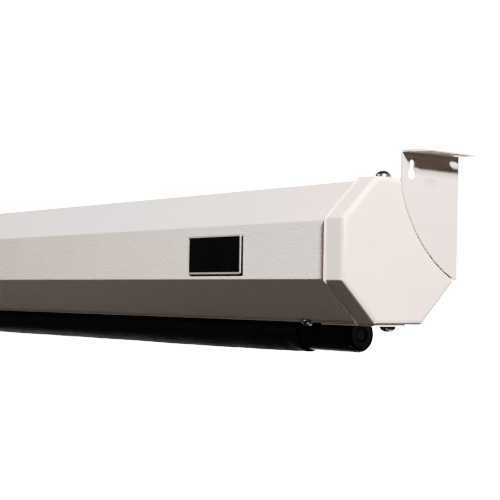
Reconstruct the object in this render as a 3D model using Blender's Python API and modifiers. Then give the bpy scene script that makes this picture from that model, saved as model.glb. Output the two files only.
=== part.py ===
"""Motorized projector screen with an octagonal case, built as the separate pieces of the real one.

X runs along the screen, +Y points to the wall, +Z is up, all in metres. The fabric is wound up, and the
weight bar hangs in the case's slot. The pieces are drawn about the middle of the case's flat rear face.
At the end the whole screen is hung under the origin, which lies midway between the two ceiling holes.
"""

import math

import bmesh
import bpy
from mathutils import Matrix, Vector

# Picture and fabric
VIEW_WIDTH = 1.860
VIEW_HEIGHT = 1.046
SIDE_BORDER = 0.038
BOTTOM_BORDER = 0.038
BLACK_DROP = 0.200
FABRIC_THICKNESS = 0.0004
SPARE_TURNS = 1.5

# Case, a folded sheet with a slot along its underside
CASE_DEPTH = 0.1133
CASE_HEIGHT = 0.1117
CASE_BEVEL = 0.0327
CASE_SHEET = 0.0012
CASE_FOLD_RADIUS = 0.0015
SLOT_WIDTH = 0.0244
BEAD_HEIGHT = 0.0021
BEAD_STEP = 0.0002

# End caps
CAP_WALL = 0.00185
CAP_RIM = 0.0225
CAP_EDGE_RADIUS = 0.003
FIT_GAP = 0.0003

# Hanger brackets, L-shaped plates on the caps' outer faces
HANGER_SHEET = 0.0015
HANGER_FOLD = 0.0010
HANGER_DEPTH = 0.0620
HANGER_STANDS_BACK = 0.0024
HANGER_RISE = 0.0218
HANGER_SHELF = 0.0200
HANGER_CORNER = 0.0060
HANGER_ARC_RADIUS = 0.113
HANGER_ARC_TOP = 0.0070
HANGER_ARC_END = 0.0228
KEYHOLE_SLOT = 0.0047
KEYHOLE_ROUND = 0.0086
KEYHOLE_FROM_EDGE = 0.0106
KEYHOLE_LENGTH = 0.0090
KEYHOLE_BELOW_CAP = 0.0009
SHELF_HOLE = 0.0066
SHELF_HOLE_FROM_REAR = 0.0080
STUD_SHANK = 0.0050
STUD_FLANGE = 0.0080
STUD_NUT = 0.0100
STUD_NUT_HEIGHT = 0.0040
FRONT_STUD = (0.014, 0.036)
REAR_STUD = (0.043, 0.002)

# Screws with domed heads
HEAD_WIDTH = 0.0122
HEAD_HEIGHT = 0.0044
FOOT_HEAD_WIDTH = 0.0108
SCREW_SHANK = 0.0045
SCREW_GRIP = 0.0080
FOOT_SCREW_GRIP = 0.0056
CAP_SCREW_INSET = 0.0115
TOP_SCREW_AHEAD = 0.0078
BOTTOM_SCREW_AHEAD = 0.0013
FOOT_SCREW_INSET = 0.0898

# Steel plates inside the case
PLATE = 0.0020
END_TAB_LENGTH = 0.0180
END_TAB_WIDTH = 0.0200
ROLLER_PLATE_INSET = 0.0970
FOOT_LENGTH = 0.0140
BAR_NOTCH_HEIGHT = 0.0070
LIP_SUPPORT_SHEET = 0.0010
LIP_SUPPORT_REACH = 0.0690
LIP_SUPPORT_STRIP = 0.0080

# Roller and its bearings
TUBE_DIAMETER = 0.0450
TUBE_WALL = 0.0012
KEYWAY_WIDTH = 0.0060
KEYWAY_DEPTH = 0.0026
KEYWAY_MOUTH = 0.0026
ROLLER_ABOVE_MIDDLE = 0.0040
TUBE_INSET = 0.1126
IDLER_PIN = 0.0100
IDLER_PLUG_LENGTH = 0.0300
PLUG_FLANGE = 0.0024
BUSHING_DIAMETER = 0.0180
BUSHING_COLLAR = 0.0240
BUSHING_LENGTH = 0.0080
CLIP_WIDTH = 0.0010
CLIP_GROOVE = 0.0008

# Tubular motor
MOTOR_DIAMETER = 0.0350
MOTOR_LENGTH = 0.4500
MOTOR_HEAD_LENGTH = 0.0124
MOTOR_EDGE = 0.0011
MOTOR_SHAFT = 0.0100
MOTOR_SHAFT_LENGTH = 0.0220
CROWN_LENGTH = 0.0110
CROWN_TEETH = 12
WHEEL_LENGTH = 0.0160
WHEEL_HOLES = 5
WHEEL_HOLE = 0.0075
LIMIT_SCREW = 0.0050
LIMIT_SCREW_LENGTH = 0.0120
LIMIT_SCREW_SPREAD = 0.0120
LIMIT_SOCKET = 0.0028
LIMIT_ACCESS = 0.0070

# Weight bar and its fabric pocket
BAR_DIAMETER = 0.0292
BAR_WALL = 0.0014
BAR_BELOW_CASE = 0.01135
BAR_END_INSET = 0.0460
BAR_CAP_LENGTH = 0.0420
BAR_CAP_EDGE = 0.0040
BAR_CAP_DISH = 0.0012
HEM_INSET = 0.0720
HEM_CLOTH = 0.0008
HEM_SAG = 0.0014
HEM_TAIL = 0.0270
HEM_PINCH = 0.0300

# Control box, leads and inlets at the motor end
BOX_LENGTH = 0.0600
BOX_DEPTH = 0.0440
BOX_HEIGHT = 0.0240
BOX_INSET = 0.0260
BOX_LID = 0.0030
BOX_EDGE = 0.0015
GLAND_BORE = 0.0080
GLAND_BODY = 0.0130
GLAND_FLANGE = 0.0180
GLAND_FLANGE_HEIGHT = 0.0045
GLAND_EDGE = 0.0011
GLAND_AHEAD = 0.0050
GLAND_ABOVE_BOTTOM = 0.01985
JACK_BORE = 0.0036
JACK_BODY = 0.0070
JACK_COLLAR = 0.0095
JACK_AHEAD = 0.0320
JACK_ABOVE_BOTTOM = 0.02785
LEAD = 0.0060

# Badge plate
BADGE_WIDTH = 0.0800
BADGE_HEIGHT = 0.0335
BADGE_THICKNESS = 0.0022
BADGE_CORNER = 0.0015
BADGE_FRAME = 0.0014
BADGE_RECESS = 0.0005
BADGE_INSET = 0.1735
BADGE_BELOW_MIDDLE = 0.0018

# What follows from these sizes
DROP = BLACK_DROP + VIEW_HEIGHT + BOTTOM_BORDER
FABRIC_WIDTH = VIEW_WIDTH + 2 * SIDE_BORDER
BAR_LENGTH = FABRIC_WIDTH + 2 * HEM_INSET
HALF_LENGTH = BAR_LENGTH / 2 + BAR_END_INSET
MIDDLE_Y = -CASE_DEPTH / 2
CAP_GROWTH = FIT_GAP + CAP_WALL
CAP_HEIGHT = CASE_HEIGHT + 2 * CAP_GROWTH
MITRE = 2 - math.sqrt(2)
INSIDE_TOP = CASE_HEIGHT / 2 - CASE_SHEET - FIT_GAP
TUBE_RADIUS = TUBE_DIAMETER / 2
TUBE_BORE = TUBE_RADIUS - TUBE_WALL
WOUND_LENGTH = DROP + SPARE_TURNS * math.tau * TUBE_RADIUS
ROLL_CORE = TUBE_RADIUS + FIT_GAP
ROLL_RADIUS = math.sqrt(ROLL_CORE**2 + FABRIC_THICKNESS * WOUND_LENGTH / math.pi)
ROLLER_Y = MIDDLE_Y - ROLL_RADIUS - FIT_GAP - FABRIC_THICKNESS / 2
ROLLER_Z = ROLLER_ABOVE_MIDDLE
BAR_Z = -CASE_HEIGHT / 2 - BAR_BELOW_CASE
BAR_RADIUS = BAR_DIAMETER / 2
HEM_RADIUS = BAR_RADIUS + FIT_GAP + HEM_CLOTH
SHELF_TOP = CAP_HEIGHT / 2 + HANGER_RISE
HANGER_REAR = CAP_GROWTH + HANGER_STANDS_BACK
HANGER_FRONT = HANGER_REAR - HANGER_DEPTH
HEAD_INSET = ROLLER_PLATE_INSET + PLATE + FIT_GAP
MOTOR_INSET = HEAD_INSET + MOTOR_HEAD_LENGTH + FIT_GAP

ROUND_STEPS = 40
SMALL_STEPS = 16
SHARP_ANGLE = math.radians(30)
TURNS = {
    "X": Matrix(((0, 0, 1), (1, 0, 0), (0, 1, 0))).to_4x4(),
    "Y": Matrix(((1, 0, 0), (0, 0, -1), (0, 1, 0))).to_4x4(),
    "Z": Matrix.Identity(4),
}

for old in list(bpy.data.objects):
    bpy.data.objects.remove(old, do_unlink=True)


def collection(name):
    made = bpy.data.collections.new(name)
    bpy.context.scene.collection.children.link(made)
    return made


PIECES = collection("motorized_projector_screen")
CUTTERS = collection("cutters")


def finish(name, colour, roughness, metallic=0.0):
    """A plain material with the colour and gloss of one real finish."""
    material = bpy.data.materials.new(name)
    material.use_nodes = True
    shader = material.node_tree.nodes["Principled BSDF"]
    shader.inputs["Base Color"].default_value = (*colour, 1)
    shader.inputs["Roughness"].default_value = roughness
    shader.inputs["Metallic"].default_value = metallic
    return material


def white_paint(name):
    return finish(name, (0.78, 0.75, 0.71), 0.45)


def bare_steel(name):
    return finish(name, (0.55, 0.55, 0.54), 0.35, 1.0)


def black_plastic(name):
    return finish(name, (0.015, 0.015, 0.016), 0.4)


def place(name, mesh, matrix=None, home=PIECES):
    piece = bpy.data.objects.new(name, mesh)
    home.objects.link(piece)
    if matrix is not None:
        piece.matrix_world = matrix
    return piece


def paint(piece, material):
    piece.data.materials.clear()
    piece.data.materials.append(material)
    return piece


def evaluated_mesh(piece):
    bpy.context.view_layer.update()
    return bpy.data.meshes.new_from_object(piece.evaluated_get(bpy.context.evaluated_depsgraph_get()))


def tidy_mesh(mesh):
    """Welds loose caps to their sides, turns every face outwards and shades the round stretches smooth."""
    shape = bmesh.new()
    shape.from_mesh(mesh)
    bmesh.ops.remove_doubles(shape, verts=shape.verts, dist=1e-6)
    bmesh.ops.recalc_face_normals(shape, faces=shape.faces)
    shape.to_mesh(mesh)
    shape.free()
    mesh.shade_smooth()
    mesh.set_sharp_from_angle(angle=SHARP_ANGLE)


def from_curve(blank, name, home=PIECES):
    """Makes a curve object into a closed mesh object in the same place."""
    mesh = evaluated_mesh(blank)
    tidy_mesh(mesh)
    piece = place(name, mesh, blank.matrix_world.copy(), home)
    bpy.data.objects.remove(blank, do_unlink=True)
    return piece


def flat_piece(name, loops, along, low, high, home=PIECES):
    """A flat outline with any holes, given its thickness from low to high along one axis."""
    curve = bpy.data.curves.new(name, "CURVE")
    curve.dimensions = "2D"
    curve.fill_mode = "BOTH"
    curve.extrude = abs(high - low) / 2
    for loop in loops:
        spline = curve.splines.new("POLY")
        spline.points.add(len(loop) - 1)
        for point, (u, v) in zip(spline.points, loop):
            point.co = (u, v, 0, 1)
        spline.use_cyclic_u = True
    centre = Vector([(low + high) / 2 if letter == along else 0 for letter in "XYZ"])
    blank = place(name + "_outline", curve, Matrix.Translation(centre) @ TURNS[along], home)
    return from_curve(blank, name, home)


def turned_piece(name, profile, centre, toward, steps=ROUND_STEPS, ring=False, home=PIECES):
    """A turned shape. The profile holds (radius, height) from its top down the outer side."""
    mesh = bpy.data.meshes.new(name)
    last = len(profile)
    edges = [(i, (i + 1) % last) for i in range(last if ring else last - 1)]
    mesh.from_pydata([(radius, 0, height) for radius, height in profile], edges, [])
    turn = Vector(toward).to_track_quat("Z", "Y").to_matrix().to_4x4()
    piece = place(name, mesh, Matrix.Translation(Vector(centre)) @ turn, home)
    screw = piece.modifiers.new("turn", "SCREW")
    screw.steps = steps
    screw.render_steps = steps
    screw.use_merge_vertices = True
    screw.merge_threshold = 1e-5
    screw.use_smooth_shade = True
    return piece


def tube_piece(name, points, diameter):
    """A lead along a smooth curve through a few hand-placed points."""
    curve = bpy.data.curves.new(name, "CURVE")
    curve.dimensions = "3D"
    curve.bevel_depth = diameter / 2
    curve.bevel_resolution = 2
    curve.use_fill_caps = True
    route = smooth_route(points, 6)
    spline = curve.splines.new("POLY")
    spline.points.add(len(route) - 1)
    for point, spot in zip(spline.points, route):
        point.co = (*spot, 1)
    return from_curve(place(name + "_route", curve), name)


def smooth_route(points, steps):
    """Points on a Catmull-Rom curve through the given ones, with a straight run at each end."""
    spots = [Vector(p) for p in points]
    first, last = spots[0], spots[-1]
    enter = (spots[1] - first).normalized() * (spots[2] - spots[1]).length
    leave = (last - spots[-2]).normalized() * (spots[-2] - spots[-3]).length
    knots = [spots[2] - 2 * enter] + spots[1:-1] + [spots[-3] + 2 * leave]
    route = [first, spots[1]]
    for before, start, stop, after in zip(knots, knots[1:], knots[2:], knots[3:]):
        for step in range(1, steps + 1):
            t = step / steps
            line = 2 * start + (stop - before) * t
            line += (2 * before - 5 * start + 4 * stop - after) * t**2
            line += (3 * start - before - 3 * stop + after) * t**3
            route.append(line / 2)
    return route + [last]


def cut(piece, cutter):
    """Takes the cutter's shape out of the piece."""
    if cutter.name not in CUTTERS.objects:
        CUTTERS.objects.link(cutter)
        PIECES.objects.unlink(cutter)
    cutter.hide_render = True
    cutter.display_type = "WIRE"
    taken = piece.modifiers.new(cutter.name, "BOOLEAN")
    taken.operation = "DIFFERENCE"
    taken.solver = "MANIFOLD"
    taken.object = cutter
    return piece


def join(piece, other):
    """Fuses another shape of the same real piece to it."""
    cut(piece, other).modifiers[-1].operation = "UNION"
    return piece


def soften(piece, width, segments=2, angle=30):
    """Rounds the edges that are sharper than the angle."""
    bevel = piece.modifiers.new("edges", "BEVEL")
    bevel.width = width
    bevel.segments = segments
    bevel.limit_method = "ANGLE"
    bevel.angle_limit = math.radians(angle)
    return piece


def hang_on(piece, axle):
    """Parents a moving piece to the empty on its joint's axis, where it is."""
    bpy.context.view_layer.update()
    stay = piece.matrix_world.copy()
    piece.parent = axle
    piece.matrix_parent_inverse = Matrix.Identity(4)
    piece.matrix_world = stay
    return piece


def arc(centre, radius, start, stop, steps):
    """Points on an arc from one angle to another, in degrees, both ends included."""
    angles = [math.radians(start + (stop - start) * i / steps) for i in range(steps + 1)]
    return [(centre[0] + radius * math.cos(a), centre[1] + radius * math.sin(a)) for a in angles]


def circle(centre, diameter, steps=ROUND_STEPS):
    return arc(centre, diameter / 2, 0, 360, steps)[:-1]


def rectangle(low, high):
    return [low, (high[0], low[1]), high, (low[0], high[1])]


def rounded(points, radii, steps=2):
    """A closed outline whose corners are rounded, each with its own radius."""
    outline = []
    spots = [Vector(p) for p in points]
    for index, (corner, radius) in enumerate(zip(spots, radii)):
        if radius == 0:
            outline.append(tuple(corner))
            continue
        back = (spots[index - 1] - corner).normalized()
        ahead = (spots[(index + 1) % len(spots)] - corner).normalized()
        half = back.angle(ahead) / 2
        centre = corner + (back + ahead).normalized() * radius / math.sin(half)
        start = corner + back * radius / math.tan(half) - centre
        sweep = start.angle_signed(corner + ahead * radius / math.tan(half) - centre)
        for step in range(steps + 1):
            turned = start.copy()
            turned.rotate(Matrix.Rotation(-sweep * step / steps, 2))
            outline.append(tuple(centre + turned))
    return outline


def octagon(inward):
    """The corners of the case's section, moved inward by a distance, from its rear underside on."""
    side = CASE_DEPTH / 2 - inward
    top = CASE_HEIGHT / 2 - inward
    bevel = CASE_BEVEL - inward * MITRE
    quarter = [(side - bevel, top), (side, top - bevel)]
    right = [(y, -z) for y, z in quarter] + quarter[::-1]
    corners = right + [(-y, z) for y, z in right[::-1]]
    return [(MIDDLE_Y + y, z) for y, z in corners]


def from_end(side, inset):
    """The X of a place that lies inset inboard of one end cap's outer face."""
    return side * (HALF_LENGTH - inset)


def across(side, outer, inner):
    """The two X values of a stretch between two insets at one end, lowest first."""
    return sorted((from_end(side, outer), from_end(side, inner)))


def hole_cutter(name, place_yz, diameter, low, high, steps=SMALL_STEPS):
    return flat_piece(name, [circle(place_yz, diameter, steps)], "X", low, high, CUTTERS)


def upright_cutter(name, centre_xy, diameter, low, high):
    return flat_piece(name, [circle(centre_xy, diameter, SMALL_STEPS)], "Z", low, high, CUTTERS)


# Case

def case_outline():
    """The sheet's section: its outside from the slot's rear edge round to the front one, then its inside."""
    outer = octagon(0)
    inner = octagon(CASE_SHEET)
    slot_rear = MIDDLE_Y + SLOT_WIDTH / 2
    slot_front = MIDDLE_Y - SLOT_WIDTH / 2
    low, floor = outer[0][1], inner[0][1]
    folds = rounded(outer, [0] + [CASE_FOLD_RADIUS] * 6 + [0])
    points = [(slot_rear, low)] + folds + [(slot_front, low), (slot_front, floor)]
    return points + inner[::-1] + [(slot_rear, floor)]


def add_beads(case):
    """The short folds below the case's bottom corners, left open at the caps and round the foot screws."""
    head = FOOT_HEAD_WIDTH / 2 + 2 * FIT_GAP
    near, far = FOOT_SCREW_INSET - head, FOOT_SCREW_INSET + head
    stretches = [across(side, CAP_RIM + FIT_GAP, near) for side in (-1, 1)]
    stretches.append([from_end(-1, far), from_end(1, far)])
    rear, front = octagon(0)[0], octagon(0)[7]
    low, high = -CASE_HEIGHT / 2 - BEAD_HEIGHT, -CASE_HEIGHT / 2 + CASE_SHEET / 2
    starts = (rear[0] - BEAD_STEP - CASE_SHEET, front[0] + BEAD_STEP)
    pair = [rectangle((y, low), (y + CASE_SHEET, high)) for y in starts]
    for x_low, x_high in stretches:
        join(case, flat_piece("bead_pair", pair, "X", x_low, x_high, CUTTERS))


def make_case():
    reach = HALF_LENGTH - CAP_WALL - 3 * FIT_GAP
    case = flat_piece("case_shell", [case_outline()], "X", -reach, reach)
    clear = SCREW_SHANK + 2 * FIT_GAP
    top_holes = [circle(cap_screw_spots(side)[0], clear, SMALL_STEPS) for side in (-1, 1)]
    cut(case, flat_piece("case_top_cutter", top_holes, "Z", INSIDE_TOP, CAP_HEIGHT / 2, CUTTERS))
    foot_holes = [circle(spot, clear, SMALL_STEPS) for side in (-1, 1) for spot in foot_screw_spots(side)]
    cut(case, flat_piece("case_foot_cutter", foot_holes, "Z", -CAP_HEIGHT / 2, -INSIDE_TOP, CUTTERS))
    add_beads(case)
    return paint(case, white_paint("case_white"))


def foot_screw_spots(side):
    """Where the foot screws go through the front and the rear lip of the slot, as (x, y)."""
    lip_middle = (SLOT_WIDTH / 2 + CASE_DEPTH / 2 - CASE_BEVEL) / 2
    return [(from_end(side, FOOT_SCREW_INSET), MIDDLE_Y + lip * lip_middle) for lip in (-1, 1)]


# End caps and what fixes them

def make_cap(side, name):
    """A cup with an octagonal face, which slides over the end of the case."""
    shape = bmesh.new()
    face_x = from_end(side, 0)
    corners = [shape.verts.new((face_x, y, z)) for y, z in octagon(-CAP_GROWTH)]
    face = shape.faces.new(corners)
    face.normal_update()
    if face.normal.x * side < 0:
        face.normal_flip()
    rim = bmesh.ops.extrude_edge_only(shape, edges=list(shape.edges))
    moved = [v for v in rim["geom"] if isinstance(v, bmesh.types.BMVert)]
    bmesh.ops.translate(shape, verts=moved, vec=(-side * CAP_RIM, 0, 0))
    bmesh.ops.recalc_face_normals(shape, faces=shape.faces)
    if face.normal.x * side < 0:
        bmesh.ops.reverse_faces(shape, faces=shape.faces)
    mesh = bpy.data.meshes.new(name)
    shape.to_mesh(mesh)
    shape.free()
    cap = soften(place(name, mesh), CAP_EDGE_RADIUS, 3, 60)
    wall = cap.modifiers.new("wall", "SOLIDIFY")
    wall.thickness = CAP_WALL
    wall.offset = -1
    wall.use_even_offset = True
    through = across(side, -CAP_WALL, PLATE + 2 * CAP_WALL)
    for spot in stud_spots():
        cut(cap, hole_cutter("cap_stud_cutter", spot, STUD_FLANGE + 2 * FIT_GAP, *through))
    clear = SCREW_SHANK + 2 * FIT_GAP
    top, bottom = cap_screw_spots(side)
    cut(cap, upright_cutter("cap_top_cutter", top, clear, INSIDE_TOP, CAP_HEIGHT))
    cut(cap, upright_cutter("cap_bottom_cutter", bottom, clear, -CAP_HEIGHT, -INSIDE_TOP))
    if side < 0:
        for spot, width in motor_end_holes():
            cut(cap, hole_cutter("cap_inlet_cutter", spot, width, *through))
    return paint(cap, white_paint(name + "_white"))


def stud_spots():
    return [(MIDDLE_Y + y, z) for y, z in (FRONT_STUD, REAR_STUD)]


def cap_screw_spots(side):
    """Where the top and the bottom screw go through a cap, as (x, y)."""
    x = from_end(side, CAP_SCREW_INSET)
    return (x, MIDDLE_Y - TOP_SCREW_AHEAD), (x, MIDDLE_Y - BOTTOM_SCREW_AHEAD)


def gland_spot():
    return MIDDLE_Y - GLAND_AHEAD, -CASE_HEIGHT / 2 + GLAND_ABOVE_BOTTOM


def jack_spot():
    return MIDDLE_Y - JACK_AHEAD, -CASE_HEIGHT / 2 + JACK_ABOVE_BOTTOM


def limit_spots():
    return [(ROLLER_Y, ROLLER_Z + sign * LIMIT_SCREW_SPREAD) for sign in (1, -1)]


def motor_end_holes():
    """The holes through the motor end's cap and end plate, each with its width."""
    holes = [(gland_spot(), GLAND_BODY + 2 * FIT_GAP), (jack_spot(), JACK_BODY + 2 * FIT_GAP)]
    return holes + [(spot, LIMIT_ACCESS) for spot in limit_spots()]


def make_end_plate(side, name):
    """The steel plate behind a cap's face, with a bent tab for each cap screw."""
    outline = [(y, max(z, -INSIDE_TOP)) for y, z in octagon(CASE_SHEET + FIT_GAP)]
    holes = [circle(spot, STUD_SHANK + 2 * FIT_GAP, SMALL_STEPS) for spot in stud_spots()]
    if side < 0:
        holes += [circle(spot, width, SMALL_STEPS) for spot, width in motor_end_holes()]
    start = CAP_WALL + FIT_GAP
    plate = flat_piece(name, [outline] + holes, "X", *across(side, start, start + PLATE))
    tab_reach = across(side, start + 2 * FIT_GAP, start + END_TAB_LENGTH)
    top, bottom = cap_screw_spots(side)
    cap_floor = CAP_HEIGHT / 2 - CAP_WALL - FIT_GAP
    tab_half = END_TAB_WIDTH / 2
    for (x, y), low, label in ((top, INSIDE_TOP - PLATE, "top"), (bottom, -cap_floor, "bottom")):
        hole = circle((x, y), SCREW_SHANK + 2 * FIT_GAP, SMALL_STEPS)
        tab_outline = rectangle((tab_reach[0], y - tab_half), (tab_reach[1], y + tab_half))
        tab = flat_piece(label + "_tab", [tab_outline, hole], "Z", low, low + PLATE, CUTTERS)
        join(plate, tab)
    return paint(plate, bare_steel(name + "_steel"))


def make_screw(name, spot, seat, upward, head_width, grip):
    """A domed screw on its seat, with a plain shank."""
    head = head_width / 2
    dome = [(head * math.cos(a), HEAD_HEIGHT * math.sin(a)) for a in (1.2, 0.8, 0.4)]
    profile = [(0, HEAD_HEIGHT)] + dome + [(head, 0.0008), (head, 0)]
    profile += [(SCREW_SHANK / 2, 0), (SCREW_SHANK / 2, -grip), (0, -grip)]
    centre = (*spot, seat + upward * FIT_GAP)
    screw = turned_piece(name, profile, centre, (0, 0, upward), SMALL_STEPS)
    return paint(screw, bare_steel(name + "_nickel"))


def make_cap_screws(side, end):
    top, bottom = cap_screw_spots(side)
    make_screw("cap_screw_top_" + end, top, CAP_HEIGHT / 2, 1, HEAD_WIDTH, SCREW_GRIP)
    make_screw("cap_screw_bottom_" + end, bottom, lip_support_low(), -1, HEAD_WIDTH, SCREW_GRIP)


def lip_support_low():
    return -CAP_HEIGHT / 2 - FIT_GAP - LIP_SUPPORT_SHEET


def make_lip_support(side, name):
    """The thin plate under a cap, whose strip runs inboard under the case's front lip."""
    front = octagon(0)[7][0]
    x_out = from_end(side, CAP_EDGE_RADIUS)
    x_wide = from_end(side, CAP_RIM + CAP_EDGE_RADIUS)
    x_reach = from_end(side, LIP_SUPPORT_REACH)
    back = MIDDLE_Y - BOTTOM_SCREW_AHEAD + END_TAB_WIDTH / 2
    strip = front + LIP_SUPPORT_STRIP
    corners = [(x_out, front), (x_out, back), (x_wide, back)]
    corners += [(x_wide, strip), (x_reach, strip), (x_reach, front)]
    hole = circle(cap_screw_spots(side)[1], SCREW_SHANK + 2 * FIT_GAP, SMALL_STEPS)
    low = lip_support_low()
    plate = flat_piece(name, [corners, hole], "Z", low, low + LIP_SUPPORT_SHEET)
    return paint(plate, white_paint(name + "_white"))


# Hanger brackets

def arc_corner():
    """The points of the hanger's curved front edge, from its straight part down to its rear edge."""
    start = Vector((HANGER_FRONT, CAP_HEIGHT / 2 - HANGER_ARC_TOP))
    stop = Vector((HANGER_REAR, -HANGER_ARC_END))
    chord = stop - start
    rise = math.sqrt(HANGER_ARC_RADIUS**2 - (chord.length / 2) ** 2)
    centre = (start + stop) / 2 + Vector((-chord.y, chord.x)).normalized() * rise
    first = math.degrees(math.atan2(start.y - centre.y, start.x - centre.x)) % 360
    last = math.degrees(math.atan2(stop.y - centre.y, stop.x - centre.x)) % 360
    return arc(centre, HANGER_ARC_RADIUS, first, last, 14)


def keyhole_outline():
    """A round hole with a narrow slot above it, for hanging over a screw's head."""
    y = HANGER_FRONT + KEYHOLE_FROM_EDGE
    z = CAP_HEIGHT / 2 - KEYHOLE_BELOW_CAP + KEYHOLE_ROUND / 2
    meet = math.degrees(math.asin(KEYHOLE_SLOT / KEYHOLE_ROUND))
    below = arc((y, z), KEYHOLE_ROUND / 2, 90 + meet, 450 - meet, 18)
    return below + arc((y, z + KEYHOLE_LENGTH), KEYHOLE_SLOT / 2, 0, 180, 8)


def make_hanger(side, name):
    """An L of sheet steel: a side plate on the cap's face, and a shelf bent outwards for the ceiling."""
    face = HALF_LENGTH + FIT_GAP
    low = -HANGER_ARC_END
    outer_bend = HANGER_FOLD + HANGER_SHEET
    bend_outer = arc((face + outer_bend, SHELF_TOP - outer_bend), outer_bend, 180, 90, 4)
    bend_inner = arc((face + outer_bend, SHELF_TOP - outer_bend), HANGER_FOLD, 90, 180, 4)
    tip = face + HANGER_SHELF
    section = [(face, low)] + bend_outer + [(tip, SHELF_TOP), (tip, SHELF_TOP - HANGER_SHEET)]
    section += bend_inner + [(face + HANGER_SHEET, low)]
    section = [(side * x, z) for x, z in section]
    hanger = flat_piece(name, [section], "Y", HANGER_FRONT, HANGER_REAR)
    plate = sorted((side * (face - HANGER_SHEET), side * (face + 2 * HANGER_SHEET)))
    curve = arc_corner()
    beyond = HANGER_FRONT - HANGER_SHEET
    waste = curve + [(HANGER_REAR, low - HANGER_SHEET), (beyond, low - HANGER_SHEET), (beyond, curve[0][1])]
    cut(hanger, flat_piece("hanger_arc_cutter", [waste], "X", *plate, CUTTERS))
    cut(hanger, flat_piece("keyhole_cutter", [keyhole_outline()], "X", *plate, CUTTERS))
    shelf = (SHELF_TOP - 2 * HANGER_SHEET, SHELF_TOP + HANGER_SHEET)
    hole = (side * (face + HANGER_SHELF / 2), HANGER_REAR - SHELF_HOLE_FROM_REAR)
    cut(hanger, upright_cutter("shelf_hole_cutter", hole, SHELF_HOLE, *shelf))
    cut(hanger, flat_piece("shelf_corner_cutter", [shelf_corner(side, tip)], "Z", *shelf, CUTTERS))
    return paint(hanger, white_paint(name + "_white"))


def shelf_corner(side, tip):
    """What is taken off the shelf's front outer corner to round it."""
    radius = HANGER_CORNER
    centre = (tip - radius, HANGER_FRONT + radius)
    curve = arc(centre, radius, 0, -90, 5)
    front = HANGER_FRONT - radius
    outside = [(tip - radius, front), (tip + radius, front), (tip + radius, centre[1])]
    return [(side * x, y) for x, y in curve + outside]


def make_studs(side, end):
    """Studs on the hanger's back, through the cap and the end plate, each with its hexagon nut."""
    seat = from_end(side, 0)
    shank, flange = STUD_SHANK / 2, STUD_FLANGE / 2
    nut_inset = CAP_WALL + PLATE + 2 * FIT_GAP
    nut_x = across(side, nut_inset, nut_inset + STUD_NUT_HEIGHT)
    tip = -(nut_inset + STUD_NUT_HEIGHT + shank)
    profile = [(0, 0), (flange, 0), (flange, -CAP_WALL), (shank, -CAP_WALL), (shank, tip), (0, tip)]
    for spot, row in zip(stud_spots(), ("front_", "rear_")):
        stud = turned_piece("hanger_stud_" + row + end, profile, (seat, *spot), (side, 0, 0), SMALL_STEPS)
        outline = [circle(spot, STUD_NUT, 6), circle(spot, STUD_SHANK + 2 * FIT_GAP, SMALL_STEPS)]
        nut = flat_piece("hanger_nut_" + row + end, outline, "X", *nut_x)
        for piece in (stud, nut):
            paint(piece, bare_steel(piece.name + "_zinc"))


# Roller carriers inside the case

def carrier_outline():
    """A plate that fills the case's section, notched at the bottom for the weight bar."""
    corners = octagon(CASE_SHEET + FIT_GAP)
    front, rear = MIDDLE_Y - SLOT_WIDTH / 2, MIDDLE_Y + SLOT_WIDTH / 2
    top = -INSIDE_TOP + BAR_NOTCH_HEIGHT
    return corners + [(front, -INSIDE_TOP), (front, top), (rear, top), (rear, -INSIDE_TOP)]


def make_carrier(side, name, holes):
    """A roller plate with two feet that are screwed to the slot lips."""
    x_range = across(side, ROLLER_PLATE_INSET, ROLLER_PLATE_INSET + PLATE)
    plate = flat_piece(name, [carrier_outline()] + holes, "X", *x_range)
    foot_x = across(side, ROLLER_PLATE_INSET - FOOT_LENGTH, ROLLER_PLATE_INSET + PLATE)
    lip_half = (CASE_DEPTH / 2 - CASE_BEVEL - SLOT_WIDTH / 2) / 2 - CASE_SHEET
    for x, y in foot_screw_spots(side):
        hole = circle((x, y), SCREW_SHANK + 2 * FIT_GAP, SMALL_STEPS)
        outline = rectangle((foot_x[0], y - lip_half), (foot_x[1], y + lip_half))
        foot = flat_piece("foot", [outline, hole], "Z", -INSIDE_TOP, -INSIDE_TOP + PLATE, CUTTERS)
        join(plate, foot)
    return paint(plate, bare_steel(name + "_steel"))


def make_foot_screws(side, end):
    for spot, row in zip(foot_screw_spots(side), ("front_", "rear_")):
        make_screw("foot_screw_" + row + end, spot, -CASE_HEIGHT / 2, -1, FOOT_HEAD_WIDTH, FOOT_SCREW_GRIP)


def make_bushing():
    """The plastic bearing in the idler plate, with a collar against the plate's inner side."""
    bore = IDLER_PIN / 2 + FIT_GAP
    body, collar = BUSHING_DIAMETER / 2, BUSHING_COLLAR / 2
    inner = PLATE + FIT_GAP
    profile = [(body, inner), (body, -FIT_GAP), (collar, -FIT_GAP), (collar, -FIT_GAP - PLATE)]
    profile += [(bore, inner - BUSHING_LENGTH), (bore, inner)]
    centre = (from_end(1, ROLLER_PLATE_INSET + PLATE), ROLLER_Y, ROLLER_Z)
    bushing = turned_piece("idler_bushing", profile, centre, (1, 0, 0), ring=True)
    return paint(bushing, finish("bushing_acetal", (0.85, 0.85, 0.82), 0.4))


# Roller

def keyway_outline(radius, gap):
    """A circle of the tube's bore, with the fabric groove's box standing into it."""
    half = KEYWAY_WIDTH / 2 + gap
    deep = TUBE_BORE - KEYWAY_DEPTH - gap
    open_angle = math.degrees(math.asin(half / radius))
    curve = arc((0, 0), radius, 90 + open_angle, 450 - open_angle, ROUND_STEPS)
    return curve + [(half, deep), (-half, deep)]


def at_roller(outline):
    return [(ROLLER_Y + y, ROLLER_Z + z) for y, z in outline]


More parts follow.
